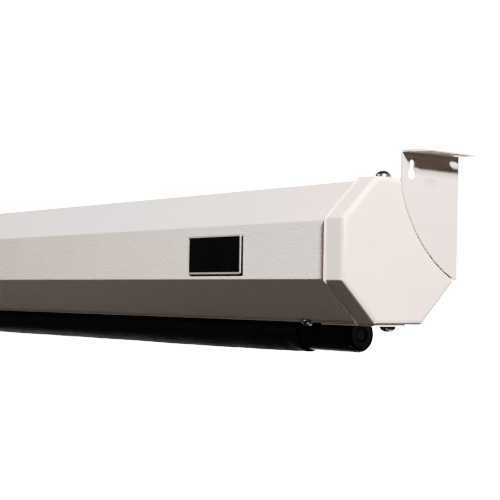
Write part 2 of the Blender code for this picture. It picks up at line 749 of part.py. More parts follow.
def tube_outer():
    """The tube's outside, with the groove that holds the fabric's edge."""
    mouth = KEYWAY_MOUTH / 2
    wide = KEYWAY_WIDTH / 2 - TUBE_WALL / 2
    floor = TUBE_BORE - KEYWAY_DEPTH + TUBE_WALL / 2
    neck = TUBE_RADIUS - TUBE_WALL
    open_angle = math.degrees(math.asin(mouth / TUBE_RADIUS))
    curve = arc((0, 0), TUBE_RADIUS, 90 + open_angle, 450 - open_angle, ROUND_STEPS)
    return curve + [(mouth, neck), (wide, neck), (wide, floor), (-wide, floor), (-wide, neck), (-mouth, neck)]


def make_tube():
    reach = HALF_LENGTH - TUBE_INSET
    loops = [at_roller(tube_outer()), at_roller(keyway_outline(TUBE_BORE, 0))]
    tube = flat_piece("roller_tube", loops, "X", -reach, reach)
    return paint(tube, finish("tube_aluminium", (0.75, 0.75, 0.74), 0.35, 1.0))


def make_spline():
    """The plastic rod that holds the fabric's edge in the tube's groove."""
    gap = FIT_GAP
    wide = KEYWAY_WIDTH / 2 - TUBE_WALL / 2 - gap
    low = TUBE_BORE - KEYWAY_DEPTH + TUBE_WALL / 2 + gap
    high = TUBE_RADIUS - TUBE_WALL - gap
    reach = FABRIC_WIDTH / 2
    outline = at_roller(rectangle((-wide, low), (wide, high)))
    return paint(flat_piece("fabric_spline", [outline], "X", -reach, reach), black_plastic("spline_black"))


def make_roll():
    """The wound fabric. Its outside climbs by one thickness a turn and ends where the fabric leaves it."""
    turn = 72
    outer = []
    for step in range(turn + 1):
        share = step / turn
        radius = ROLL_RADIUS - FABRIC_THICKNESS * (1 - share)
        angle = -math.tau * share
        outer.append((radius * math.cos(angle), radius * math.sin(angle)))
    loops = [at_roller(outer), at_roller(circle((0, 0), 2 * ROLL_CORE, turn))]
    reach = FABRIC_WIDTH / 2
    roll = flat_piece("fabric_roll", loops, "X", -reach, reach)
    return paint(roll, finish("roll_fabric", (0.02, 0.02, 0.02), 0.7))


def make_idler_plug():
    """The moulded plug in the tube's free end, hollow between its hub and its skin."""
    radius = TUBE_BORE - FIT_GAP
    reach = across(1, TUBE_INSET, TUBE_INSET + IDLER_PLUG_LENGTH)
    hub = IDLER_PIN / 2 + FIT_GAP
    holes = [at_roller(circle((0, 0), 2 * hub))]
    plug = flat_piece("idler_plug", [at_roller(keyway_outline(radius, FIT_GAP))] + holes, "X", *reach)
    wide = radius - 2 * TUBE_WALL - KEYWAY_DEPTH
    ring = [at_roller(circle((0, 0), 2 * wide)), at_roller(circle((0, 0), 2 * hub + 4 * TUBE_WALL))]
    hollow_x = across(1, TUBE_INSET + 4 * PLATE, TUBE_INSET + IDLER_PLUG_LENGTH + PLATE)
    cut(plug, flat_piece("plug_hollow_cutter", ring, "X", *hollow_x, CUTTERS))
    flange_x = across(1, TUBE_INSET - FIT_GAP - PLUG_FLANGE, TUBE_INSET + PLATE)
    rim = [at_roller(circle((0, 0), 2 * (TUBE_RADIUS - FIT_GAP))), holes[0]]
    shoulder_x = [flange_x[1] - PLUG_FLANGE, flange_x[1]]
    join(plug, flat_piece("plug_flange", rim, "X", *shoulder_x, CUTTERS))
    neck = [at_roller(circle((0, 0), 2 * wide)), holes[0]]
    join(plug, flat_piece("plug_neck", neck, "X", *flange_x, CUTTERS))
    return paint(plug, black_plastic("plug_black"))


def make_idler_pin():
    """The steel pin that turns in the bushing, with a groove for its clip."""
    radius = IDLER_PIN / 2
    clip_at = clip_height()
    groove = radius - CLIP_GROOVE
    tail = clip_at + CLIP_WIDTH + 2 * FIT_GAP
    end = tail + CLIP_WIDTH
    back = -(TUBE_INSET + IDLER_PLUG_LENGTH - ROLLER_PLATE_INSET)
    profile = [(0, end), (radius, end), (radius, tail), (groove, tail), (groove, clip_at)]
    profile += [(radius, clip_at), (radius, back), (0, back)]
    centre = (from_end(1, ROLLER_PLATE_INSET), ROLLER_Y, ROLLER_Z)
    return paint(turned_piece("idler_pin", profile, centre, (1, 0, 0)), bare_steel("pin_steel"))


def clip_height():
    """How far the pin's clip groove lies outboard of the idler plate."""
    return 4 * FIT_GAP


def make_pin_clip():
    """The open spring clip in the pin's groove, which keeps the roller from sliding out."""
    low = clip_height() + FIT_GAP
    x = from_end(1, ROLLER_PLATE_INSET)
    inner = IDLER_PIN / 2 - CLIP_GROOVE + FIT_GAP
    outer = IDLER_PIN / 2 + 3 * CLIP_GROOVE
    outline = arc((0, 0), outer, -60, 240, 20) + arc((0, 0), inner, 240, -60, 20)
    clip = flat_piece("pin_clip", [at_roller(outline)], "X", x + low, x + low + CLIP_WIDTH)
    return paint(clip, bare_steel("clip_steel"))


# Motor

def motor_x(inset):
    return from_end(-1, inset)


def make_motor_head():
    """The fixed head on the motor plate, with two blind bores for the limit screws."""
    outer = TUBE_RADIUS
    centre = (motor_x(HEAD_INSET), ROLLER_Y, ROLLER_Z)
    edge = MOTOR_EDGE
    low = -MOTOR_HEAD_LENGTH
    profile = [(0, 0), (outer - edge, 0), (outer, -edge), (outer, low), (0, low)]
    head = turned_piece("motor_head", profile, centre, (-1, 0, 0))
    bore = LIMIT_SCREW + 2 * FIT_GAP
    x_range = (centre[0] - PLATE, limit_screw_tip() + FIT_GAP)
    for spot in limit_spots():
        cut(head, hole_cutter("limit_bore_cutter", spot, bore, *x_range))
    return paint(head, finish("motor_head_grey", (0.12, 0.12, 0.13), 0.5))


def limit_screw_tip():
    return motor_x(ROLLER_PLATE_INSET) - PLATE / 2 + LIMIT_SCREW_LENGTH


def make_limit_screw(name, spot, colour):
    """An adjusting screw for one end of the travel, with a hexagon socket facing the cap."""
    tip = limit_screw_tip()
    screw = flat_piece(name, [circle(spot, LIMIT_SCREW, 20)], "X", tip - LIMIT_SCREW_LENGTH, tip)
    start = tip - LIMIT_SCREW_LENGTH
    socket = [circle(spot, LIMIT_SOCKET, 6)]
    cut(screw, flat_piece("limit_socket_cutter", socket, "X", start - PLATE, start + LIMIT_SOCKET, CUTTERS))
    return paint(screw, finish(name + "_plastic", colour, 0.4))


def make_motor():
    """The steel barrel that holds the motor and its gears, inside the roller tube."""
    start = motor_x(MOTOR_INSET)
    radius = MOTOR_DIAMETER / 2
    edge = MOTOR_EDGE
    profile = [(0, 0), (radius - edge, 0), (radius, -edge), (radius, -MOTOR_LENGTH), (0, -MOTOR_LENGTH)]
    motor = turned_piece("motor_barrel", profile, (start + MOTOR_LENGTH, ROLLER_Y, ROLLER_Z), (1, 0, 0))
    return paint(motor, bare_steel("motor_steel"))


def make_motor_shaft():
    """The output shaft with two flats, which carries the drive wheel."""
    start = motor_x(MOTOR_INSET) + MOTOR_LENGTH + FIT_GAP
    shaft = flat_piece("motor_shaft", [at_roller(shaft_outline(0))], "X", start, start + MOTOR_SHAFT_LENGTH)
    return paint(shaft, bare_steel("shaft_steel"))


def shaft_outline(gap):
    radius = MOTOR_SHAFT / 2 + gap
    flat = 30
    return arc((0, 0), radius, flat, 180 - flat, 10) + arc((0, 0), radius, 180 + flat, 360 - flat, 10)


def make_drive_wheel():
    """The wheel that turns the tube: a hub with flats, a notched rim and round lightening holes."""
    start = motor_x(MOTOR_INSET) + MOTOR_LENGTH + 2 * PLATE
    radius = TUBE_BORE - FIT_GAP
    pitch = (radius - KEYWAY_DEPTH + MOTOR_SHAFT / 2) / 2
    loops = [at_roller(keyway_outline(radius, FIT_GAP)), at_roller(shaft_outline(FIT_GAP))]
    for number in range(WHEEL_HOLES):
        angle = math.tau * (number + 0.5) / WHEEL_HOLES + math.pi / 2
        centre = (pitch * math.cos(angle), pitch * math.sin(angle))
        loops.append(at_roller(circle(centre, WHEEL_HOLE, 14)))
    wheel = flat_piece("drive_wheel", loops, "X", start, start + WHEEL_LENGTH)
    return paint(wheel, black_plastic("wheel_black"))


def make_crown():
    """The toothed ring in the tube's mouth that turns the motor's limit counter."""
    inner = MOTOR_DIAMETER / 2 + FIT_GAP
    outer = TUBE_BORE - FIT_GAP
    root = inner + FIT_GAP
    bore = []
    for number in range(CROWN_TEETH):
        middle = 360 * number / CROWN_TEETH
        bore += arc((0, 0), inner, middle - 5, middle + 5, 1)
        bore += arc((0, 0), root, middle + 10, middle + 20, 1)
    start = motor_x(TUBE_INSET)
    loops = [at_roller(keyway_outline(outer, FIT_GAP)), at_roller(bore)]
    crown = flat_piece("limit_crown", loops, "X", start, start + CROWN_LENGTH)
    return paint(crown, finish("crown_acetal", (0.8, 0.8, 0.78), 0.4))


# Control box and leads

def box_x():
    return across(-1, BOX_INSET, BOX_INSET + BOX_LENGTH)


def box_block(name, low, high):
    """One half of the box, from low to high, with rounded edges."""
    x_low, x_high = box_x()
    half = BOX_DEPTH / 2
    outline = rectangle((x_low, MIDDLE_Y - half), (x_high, MIDDLE_Y + half))
    return soften(flat_piece(name, [outline], "Z", low, high), BOX_EDGE)


def make_control_box():
    """The receiver and switch unit under the case's roof: a tray with a separate lid."""
    split = INSIDE_TOP - BOX_LID
    tray = box_block("control_box", INSIDE_TOP - BOX_HEIGHT, split - FIT_GAP)
    lid = box_block("control_box_lid", split, INSIDE_TOP)
    paint(tray, finish("box_grey", (0.25, 0.25, 0.26), 0.5))
    paint(lid, finish("lid_grey", (0.3, 0.3, 0.31), 0.5))


def make_gland():
    """The cable gland in the motor end's cap: an outside flange and a threaded body with a through bore."""
    bore, body, flange = GLAND_BORE / 2, GLAND_BODY / 2, GLAND_FLANGE / 2
    deep = -(CAP_WALL + PLATE + 3 * FIT_GAP + PLATE)
    edge = GLAND_EDGE
    top = GLAND_FLANGE_HEIGHT
    profile = [(bore, top), (flange - edge, top), (flange, top - edge), (flange, FIT_GAP), (body, FIT_GAP)]
    profile += [(body, deep), (bore, deep)]
    gland = turned_piece("cable_gland", profile, (motor_x(0), *gland_spot()), (-1, 0, 0), 24, ring=True)
    return paint(gland, black_plastic("gland_black"))


def make_jack():
    """The small round socket for a remote eye or trigger lead."""
    bore, body, collar = JACK_BORE / 2, JACK_BODY / 2, JACK_COLLAR / 2
    deep = -4 * JACK_BORE
    edge = FIT_GAP
    profile = [(bore, 4 * edge), (collar - edge, 4 * edge), (collar, 3 * edge), (collar, edge), (body, edge)]
    profile += [(body, deep), (0, deep)]
    profile = [(0, deep + JACK_BORE), (bore, deep + JACK_BORE)] + profile
    jack = turned_piece("control_jack", profile, (motor_x(0), *jack_spot()), (-1, 0, 0), 20)
    return paint(jack, black_plastic("jack_black"))


def make_leads():
    """Leads that stay inside the case: gland to box, and box to motor."""
    x_low, x_high = box_x()
    box_low = INSIDE_TOP - BOX_HEIGHT - FIT_GAP
    y, z = gland_spot()
    inner = motor_x(CAP_WALL + 2 * PLATE + 4 * FIT_GAP)
    entry = x_low + 3 * LEAD
    route = [(inner, y, z), (inner + LEAD, y, z), (entry - LEAD, (y + MIDDLE_Y) / 2, z + 3 * LEAD)]
    route += [(entry, MIDDLE_Y, box_low - LEAD), (entry, MIDDLE_Y, box_low)]
    paint(tube_piece("mains_lead", route, LEAD), black_plastic("mains_lead_black"))
    head_x = motor_x(HEAD_INSET) - FIT_GAP
    out = x_high - 3 * LEAD
    lead_y, lead_z = motor_lead_spot()
    route = [(out, MIDDLE_Y, box_low), (out, MIDDLE_Y, box_low - LEAD)]
    route += [(out + LEAD, (MIDDLE_Y + lead_y) / 2, (box_low + lead_z) / 2 - LEAD)]
    route += [(head_x - LEAD, lead_y, lead_z), (head_x, lead_y, lead_z)]
    paint(tube_piece("motor_lead", route, LEAD), black_plastic("motor_lead_black"))


def motor_lead_spot():
    """Where the motor lead meets the motor plate, beside the limit screws."""
    return ROLLER_Y + LIMIT_SCREW_SPREAD, ROLLER_Z


# Weight bar, fabric and badge

def make_bar():
    """The bar's round aluminium tube, between its two end caps."""
    reach = BAR_LENGTH / 2 - BAR_CAP_LENGTH - FIT_GAP
    loops = [circle((MIDDLE_Y, BAR_Z), width) for width in (BAR_DIAMETER, BAR_DIAMETER - 2 * BAR_WALL)]
    bar = flat_piece("weight_bar", loops, "X", -reach, reach)
    return paint(bar, finish("bar_black", (0.012, 0.012, 0.013), 0.3))


def make_bar_cap(side, name):
    """A plug with a rounded end, as wide as the bar, and a spigot inside it."""
    edge = BAR_CAP_EDGE
    spigot = BAR_RADIUS - BAR_WALL - FIT_GAP
    low = -BAR_CAP_LENGTH
    foot = low - BAR_CAP_LENGTH / 2
    dish = BAR_RADIUS / 3
    curve = arc((BAR_RADIUS - edge, -edge), edge, 90, 0, 5)
    profile = [(0, -BAR_CAP_DISH), (dish, -BAR_CAP_DISH), (dish + BAR_CAP_DISH, 0)] + curve
    profile += [(BAR_RADIUS, low), (spigot, low), (spigot, foot), (0, foot)]
    centre = (side * BAR_LENGTH / 2, MIDDLE_Y, BAR_Z)
    return paint(turned_piece(name, profile, centre, (side, 0, 0)), black_plastic(name + "_black"))


def hem_section(sag):
    """The pocket's outer line: round the bar, a little slack below, and drawn in to the seam above."""
    lean = math.asin(HEM_RADIUS / HEM_TAIL)
    points = [(0, HEM_TAIL)]
    steps = 20
    for step in range(steps + 1):
        angle = lean - (math.pi + 2 * lean) * step / steps
        slack = sag * max(0.0, -math.sin(angle)) ** 2
        points.append((HEM_RADIUS * math.cos(angle), HEM_RADIUS * math.sin(angle) - slack))
    return points


def make_hem():
    """The black pocket at the fabric's foot, lofted from slack in the middle to snug at its ends."""
    half = FABRIC_WIDTH / 2
    stations = [-half, -half + HEM_PINCH / 2, -half + HEM_PINCH, -half + 3 * HEM_PINCH]
    stations += [-x for x in stations[::-1]]
    slack = [0.0, 0.2, 0.75, 1.0, 1.0, 0.75, 0.2, 0.0]
    shape = bmesh.new()
    rings = []
    for x, share in zip(stations, slack):
        ring = [shape.verts.new((x, MIDDLE_Y + y, BAR_Z + z)) for y, z in hem_section(HEM_SAG * share)]
        rings.append(ring)
    for ring, following in zip(rings, rings[1:]):
        for index in range(len(ring)):
            back = index - 1
            shape.faces.new((ring[back], ring[index], following[index], following[back]))
    bmesh.ops.recalc_face_normals(shape, faces=shape.faces)
    mesh = bpy.data.meshes.new("hem_pocket")
    shape.to_mesh(mesh)
    shape.free()
    hem = place("hem_pocket", mesh)
    cloth = hem.modifiers.new("cloth", "SOLIDIFY")
    cloth.thickness = HEM_CLOTH
    cloth.offset = -1
    return paint(hem, finish("hem_black", (0.012, 0.012, 0.012), 0.75))


def make_fabric():
    """The short free stretch of fabric between the roll and the pocket, which the drop lengthens."""
    half = FABRIC_THICKNESS / 2
    low = BAR_Z + HEM_TAIL + FIT_GAP
    reach = FABRIC_WIDTH / 2
    outline = rectangle((MIDDLE_Y - half, low), (MIDDLE_Y + half, ROLLER_Z))
    fabric = flat_piece("screen_fabric", [outline], "X", -reach, reach)
    return paint(fabric, finish("screen_white", (0.85, 0.85, 0.84), 0.8))


def make_badge():
    """A bare plate on the case's front with a raised frame round its edge."""
    x = from_end(1, BADGE_INSET)
    z = -BADGE_BELOW_MIDDLE
    outside, inside = [
        rectangle((x - half_w, z - half_h), (x + half_w, z + half_h))
        for half_w, half_h in (
            (BADGE_WIDTH / 2, BADGE_HEIGHT / 2),
            (BADGE_WIDTH / 2 - BADGE_FRAME, BADGE_HEIGHT / 2 - BADGE_FRAME),
        )
    ]
    back = -CASE_DEPTH - FIT_GAP
    face = back - BADGE_THICKNESS
    badge = flat_piece("badge_plate", [rounded(outside, [BADGE_CORNER] * 4)], "Y", face, back)
    deep = (face - BADGE_RECESS, face + BADGE_RECESS)
    cut(badge, flat_piece("badge_recess_cutter", [inside], "Y", *deep, CUTTERS))
    return paint(badge, finish("badge_black", (0.01, 0.01, 0.011), 0.25))


def axle(name, location):
    empty = bpy.data.objects.new(name, None)
    PIECES.objects.link(empty)
    empty.location = location
    return empty


def hang_from_origin():
    """Sets the finished screen under the origin, which lies midway between the two ceiling holes."""
    to_origin = Vector((0, SHELF_HOLE_FROM_REAR - HANGER_REAR, -SHELF_TOP))
    for thing in bpy.data.objects:
        if thing.parent is None:
            thing.location += to_origin


def build():
    make_case()
    for side, end in ((1, "right"), (-1, "left")):
        make_cap(side, "end_cap_" + end)
        make_end_plate(side, "end_plate_" + end)
        make_cap_screws(side, end)
        make_lip_support(side, "lip_support_" + end)
        make_hanger(side, "hanger_" + end)
        make_studs(side, end)
        make_foot_screws(side, end)
    make_badge()
    make_control_box()
    make_gland()
    make_jack()
    make_leads()

    bearing = at_roller(circle((0, 0), BUSHING_DIAMETER + 2 * FIT_GAP))
    make_carrier(1, "idler_plate", [bearing])
    make_bushing()
    access = [circle(spot, LIMIT_SCREW + 4 * FIT_GAP, SMALL_STEPS) for spot in limit_spots()]
    access.append(circle(motor_lead_spot(), LEAD + 4 * FIT_GAP, SMALL_STEPS))
    make_carrier(-1, "motor_plate", access)
    make_motor_head()
    make_motor()

    roller = axle("roller_axle", (0, ROLLER_Y, ROLLER_Z))
    turning = [make_tube(), make_spline(), make_roll(), make_idler_plug(), make_idler_pin(), make_pin_clip()]
    turning += [make_motor_shaft(), make_drive_wheel(), make_crown()]
    for piece in turning:
        hang_on(piece, roller)

    bar = axle("bar_line", (0, MIDDLE_Y, BAR_Z))
    for piece in (make_bar(), make_bar_cap(1, "bar_cap_right"), make_bar_cap(-1, "bar_cap_left"), make_hem()):
        hang_on(piece, bar)
    make_fabric()

    names = ("limit_screw_up", "limit_screw_down")
    colours = ((0.8, 0.8, 0.75), (0.75, 0.1, 0.05))
    for name, spot, colour in zip(names, limit_spots(), colours):
        pivot = axle(name + "_axis", (motor_x(HEAD_INSET), *spot))
        hang_on(make_limit_screw(name, spot, colour), pivot)
    hang_from_origin()


build()
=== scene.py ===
import math

import bmesh
import bpy
import numpy as np
from mathutils import Matrix, Vector


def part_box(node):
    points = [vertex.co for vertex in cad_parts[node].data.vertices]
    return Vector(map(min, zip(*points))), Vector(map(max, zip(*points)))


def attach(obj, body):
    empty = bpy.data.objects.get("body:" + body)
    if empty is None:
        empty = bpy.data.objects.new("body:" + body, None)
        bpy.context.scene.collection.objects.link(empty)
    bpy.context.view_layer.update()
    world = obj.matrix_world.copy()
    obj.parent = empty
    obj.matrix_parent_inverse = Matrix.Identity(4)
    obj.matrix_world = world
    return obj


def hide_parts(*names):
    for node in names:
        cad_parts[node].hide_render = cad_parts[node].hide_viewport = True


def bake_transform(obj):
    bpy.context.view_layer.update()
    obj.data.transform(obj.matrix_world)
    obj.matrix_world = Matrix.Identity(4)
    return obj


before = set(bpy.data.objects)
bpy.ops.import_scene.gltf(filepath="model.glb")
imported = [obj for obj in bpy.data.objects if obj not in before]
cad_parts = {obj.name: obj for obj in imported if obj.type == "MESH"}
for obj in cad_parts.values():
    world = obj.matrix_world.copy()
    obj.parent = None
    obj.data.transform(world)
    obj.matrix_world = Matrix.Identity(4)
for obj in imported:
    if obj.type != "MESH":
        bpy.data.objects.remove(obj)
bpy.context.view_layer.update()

scene = bpy.context.scene
ENDS = ((1, "right"), (-1, "left"))  # the way each end faces along X
BEYOND = 0.002  # how far a cutting tool reaches past the surface

# Camera. A long lens looks along the case from in front of its right end, level with the case's lower part.
# Its place and turn come from one fit to the case's edges and corners and to the screws.


def placed(name, data):
    """A new object in the scene."""
    thing = bpy.data.objects.new(name, data)
    scene.collection.objects.link(thing)
    return thing


camera_data = bpy.data.cameras.new("camera")
camera_data.sensor_width = 36.0
camera_data.lens = 97.1
camera_data.clip_start = 0.05
camera_data.clip_end = 60.0
camera = placed("camera", camera_data)
camera_right = Vector((0.5906, 0.80682, 0.01521))
camera_up = Vector((0.01905, -0.03277, 0.99928))
camera_turn = Matrix((camera_right, camera_up, camera_right.cross(camera_up))).transposed().to_4x4()
camera.matrix_world = Matrix.Translation((1.87221, -0.77492, -0.11752)) @ camera_turn
scene.camera = camera

# Case. One sheet of steel, folded to an octagonal section that stays open along a slot below. It has a warm
# white powder coat. A short fold hangs down near each edge of its underside, with gaps at the foot screws.

SHEET = 0.0012
SLOT = 0.0244
CORNER_LEG = 0.0327  # what a bevel takes off each of its two sides
FOLD = 0.0017
LIP_FOLD = 0.0045  # the outer folds below are rounder
BEAD_DROP = 0.0021  # the beads are the short folds
BEAD_WIDTH = 0.0012
BEAD_STEP = 0.0021
BEAD_EDGE = 0.0004
BEAD_GAP = 0.0054  # to each side of a foot screw
SHANK_HOLE = 0.0026
CAP_RIM = 0.0225  # how far an end cap reaches over the case
case_low, case_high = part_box("case_shell")
case_bottom = case_low.z + BEAD_DROP
half_depth = (case_high.y - case_low.y) / 2
half_height = (case_high.z - case_bottom) / 2
middle_y = (case_high.y + case_low.y) / 2
middle_z = (case_high.z + case_bottom) / 2


def middle_of(node):
    """The centre of a CAD node's box."""
    low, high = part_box(node)
    return (low + high) / 2


def octagon(inward):
    """Corners of the case's section, moved inward by a distance, from its rear underside on."""
    side = half_depth - inward
    top = half_height - inward
    leg = CORNER_LEG - inward * (2 - math.sqrt(2))
    rear = [(side - leg, -top), (side, leg - top), (side, top - leg), (side - leg, top)]
    front = [(-y, z) for y, z in rear[::-1]]
    return [(middle_y + y, middle_z + z) for y, z in rear + front]


def rounded_corner(before, corner, after, radius, steps):
    """Points of the arc that replaces one corner of an outline."""
    corner = Vector(corner)
    back = (Vector(before) - corner).normalized()
    ahead = (Vector(after) - corner).normalized()
    half = back.angle(ahead) / 2
    centre = corner + (back + ahead).normalized() * radius / math.sin(half)
    start = corner + back * radius / math.tan(half) - centre
    sweep = start.angle_signed(corner + ahead * radius / math.tan(half) - centre)
    first = math.atan2(start.y, start.x)
    return arc(centre, start.length, math.degrees(first), math.degrees(first - sweep), steps)


def rounded(points, radii, steps, closed=True):
    """An outline with every corner rounded, or every inner corner of an open line."""
    outline = []
    for index, corner in enumerate(points):
        if not closed and index in (0, len(points) - 1):
            outline.append(tuple(corner))
            continue
        radius = radii[index] if isinstance(radii, list) else radii
        after = points[(index + 1) % len(points)]
        outline += rounded_corner(points[index - 1], corner, after, radius, steps)
    return outline


def arc(centre, radius, start, stop, steps):
    """Points on an arc between two angles in degrees."""
    angles = [math.radians(start + (stop - start) * i / steps) for i in range(steps + 1)]
    return [(centre[0] + radius * math.cos(a), centre[1] + radius * math.sin(a)) for a in angles]


def circle(centre, radius, steps):
    return arc(centre, radius, 0, 360, steps)[:-1]


def baked(maker, name):
    """Turns an object with its modifiers into a plain closed mesh object, with its faces outwards."""
    bpy.context.view_layer.update()
    mesh = bpy.data.meshes.new_from_object(maker.evaluated_get(bpy.context.evaluated_depsgraph_get()))
    mesh.transform(maker.matrix_world)
    shape = bmesh.new()
    shape.from_mesh(mesh)
    bmesh.ops.remove_doubles(shape, verts=shape.verts, dist=1e-6)
    bmesh.ops.recalc_face_normals(shape, faces=shape.faces)
    shape.to_mesh(mesh)
    shape.free()
    mesh.name = name
    mesh.materials.clear()
    bpy.data.objects.remove(maker, do_unlink=True)
    return placed(name, mesh)


# Turns that lay an outline across an axis.
AXIS_TURNS = {
    "X": Matrix(((0, 0, 1), (1, 0, 0), (0, 1, 0))).to_4x4(),
    "Y": Matrix(((1, 0, 0), (0, 0, -1), (0, 1, 0))).to_4x4(),
    "Z": Matrix.Identity(4),
}


def cut_sheet(name, loops, along, low, high):
    """A flat outline with any holes, as thick as from low to high along one axis."""
    curve = bpy.data.curves.new(name, "CURVE")
    curve.dimensions = "2D"
    curve.fill_mode = "BOTH"
    curve.extrude = (high - low) / 2
    for loop in loops:
        line = curve.splines.new("POLY")
        line.points.add(len(loop) - 1)
        for point, (u, v) in zip(line.points, loop):
            point.co = (u, v, 0, 1)
        line.use_cyclic_u = True
    blank = placed(name + "_blank", curve)
    offset = Vector([(low + high) / 2 if letter == along else 0 for letter in "XYZ"])
    blank.matrix_world = Matrix.Translation(offset) @ AXIS_TURNS[along]
    return baked(blank, name)


def take(piece, tool, operation="DIFFERENCE"):
    """Cuts a tool's shape out of a piece, or joins it on, and uses the tool up."""
    cut = piece.modifiers.new("cut", "BOOLEAN")
    cut.operation = operation
    cut.solver = "MANIFOLD"
    cut.object = tool
    name = piece.name
    piece.name = name + "_uncut"
    piece = baked(piece, name)
    bpy.data.objects.remove(tool, do_unlink=True)
    return piece


def soften(piece, width, segments=2, angle=60):
    """Rounds the edges that are sharper than the angle."""
    bevel = piece.modifiers.new("soft_edges", "BEVEL")
    bevel.width = width
    bevel.segments = segments
    bevel.limit_method = "ANGLE"
    bevel.angle_limit = math.radians(angle)


def feed(tree, socket, value):
    """Gives an input a plain value, or links it to another socket."""
    if isinstance(value, bpy.types.NodeSocket):
        tree.links.new(value, socket)
    else:
        socket.default_value = value


def shader_node(tree, kind, settings=None, **inputs):
    """A shader node with its settings and its inputs."""
    node = tree.nodes.new("ShaderNode" + kind)
    for label, value in (settings or {}).items():
        setattr(node, label, value)
    for label, value in inputs.items():
        feed(tree, node.inputs[label.replace("_", " ")], value)
    return node


def reckon(tree, operation, *values, clamp=False):
    """A math node on sockets or plain numbers."""
    node = shader_node(tree, "Math", {"operation": operation, "use_clamp": clamp})
    for socket, value in zip(node.inputs, values):
        feed(tree, socket, value)
    return node.outputs[0]


def mixed(tree, factor, first, second):
    """One colour turning into another."""
    return shader_node(tree, "Mix", {"data_type": "RGBA"}, Factor=factor, A=first, B=second).outputs["Result"]


def noise(tree, place, scale, detail=2.0, rough=0.5):
    node = shader_node(tree, "TexNoise", Vector=place, Scale=scale, Detail=detail, Roughness=rough)
    return node.outputs["Fac"]


def stretched(tree, place, stretch):
    """The coordinates, squeezed or stretched along the axes."""
    return shader_node(tree, "Mapping", Vector=place, Scale=stretch).outputs["Vector"]


def texture_group(name, inputs=None):
    """The start of a node group that puts out a tone and a height."""
    group = bpy.data.node_groups.new(name, "ShaderNodeTree")
    for label, value in (inputs or {}).items():
        socket = group.interface.new_socket(label, in_out="INPUT", socket_type="NodeSocketFloat")
        socket.default_value = value
    for label in ("Tone", "Height"):
        group.interface.new_socket(label, in_out="OUTPUT", socket_type="NodeSocketFloat")
    entry = group.nodes.new("NodeGroupInput")
    leave = group.nodes.new("NodeGroupOutput")
    place = shader_node(group, "TexCoord").outputs["Object"]
    return group, entry, leave, place


def powder_coat_group():
    """Orange peel of a powder coat: soft cells, longer waves and a fine grain."""
    group, entry, leave, place = texture_group("powder_coat", {"Peel": 1.0})
    cells = shader_node(
        group, "TexVoronoi", {"feature": "SMOOTH_F1"},
        Vector=stretched(group, place, (0.5, 1, 1)), Scale=520.0, Smoothness=0.8,
    )
    waves = noise(group, stretched(group, place, (0.3, 1, 1)), 430.0, 3.0, 0.6)
    grain = noise(group, place, 900.0, 1.0)
    broad = noise(group, place, 14.0)
    peel = reckon(group, "MULTIPLY_ADD", cells.outputs["Distance"], -0.5, waves)
    peel = reckon(group, "MULTIPLY", peel, entry.outputs["Peel"])
    feed(group, leave.inputs["Height"], reckon(group, "MULTIPLY_ADD", grain, 0.35, peel))
    speckle = reckon(group, "MULTIPLY_ADD", grain, 1.6, -0.5)
    feed(group, leave.inputs["Tone"], reckon(group, "MULTIPLY_ADD", broad, 0.4, speckle, clamp=True))
    return group


POWDER_COAT = powder_coat_group()


def raise_surface(tree, shader, height, strength, distance):
    """Fine relief from a height."""
    bump = shader_node(tree, "Bump", Strength=strength, Distance=distance, Height=height)
    feed(tree, shader.inputs["Normal"], bump.outputs["Normal"])


def finish_material(name, group, dark, light, rough, bump, distance, **values):
    """A material whose tone, roughness and relief come from a group. Values go to the group or the shader."""
    material = bpy.data.materials.new(name)
    material.use_nodes = True
    tree = material.node_tree
    shader = tree.nodes["Principled BSDF"]
    pattern = shader_node(tree, "Group", {"node_tree": group})
    tone = pattern.outputs["Tone"]
    feed(tree, shader.inputs["Base Color"], mixed(tree, tone, (*dark, 1), (*light, 1)))
    spread = shader_node(tree, "MapRange", Value=tone, To_Min=rough[0], To_Max=rough[1])
    feed(tree, shader.inputs["Roughness"], spread.outputs["Result"])
    raise_surface(tree, shader, pattern.outputs["Height"], bump, distance)
    for label, value in values.items():
        label = label.replace("_", " ")
        (pattern if label in pattern.inputs else shader).inputs[label].default_value = value
    return material


def fit(piece, material, body, node, angle=28):
    """Shades and paints a finished piece, puts it under the empty of the body that carries it, and hides the
    CAD node it stands in for.
    """
    piece.data.shade_smooth()
    piece.data.set_sharp_from_angle(angle=math.radians(angle))
    weight = piece.modifiers.new("flat_faces", "WEIGHTED_NORMAL")
    weight.keep_sharp = True
    weight.weight = 80
    piece.data.materials.append(material)
    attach(piece, body)
    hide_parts(node)


def case_section():
    """The folded sheet's outside from the slot's rear edge round to its front edge, then back inside."""
    slot = [middle_y + SLOT / 2, middle_y - SLOT / 2]
    floor = case_bottom + SHEET
    outer = [(slot[0], case_bottom)] + octagon(0) + [(slot[1], case_bottom)]
    inner = [(slot[0], floor)] + octagon(SHEET) + [(slot[1], floor)]
    folds = [FOLD, LIP_FOLD] + [FOLD] * 6 + [LIP_FOLD, FOLD]
    inner_folds = [fold - SHEET for fold in folds]
    return rounded(outer, folds, 6, False) + rounded(inner, inner_folds, 6, False)[::-1]


def bead_outline(y):
    """The section of one short fold, square below."""
    top = case_bottom + SHEET / 2
    corners = [(y, top), (y, case_low.z), (y + BEAD_WIDTH, case_low.z), (y + BEAD_WIDTH, top)]
    return rounded(corners, BEAD_EDGE, 4, False)


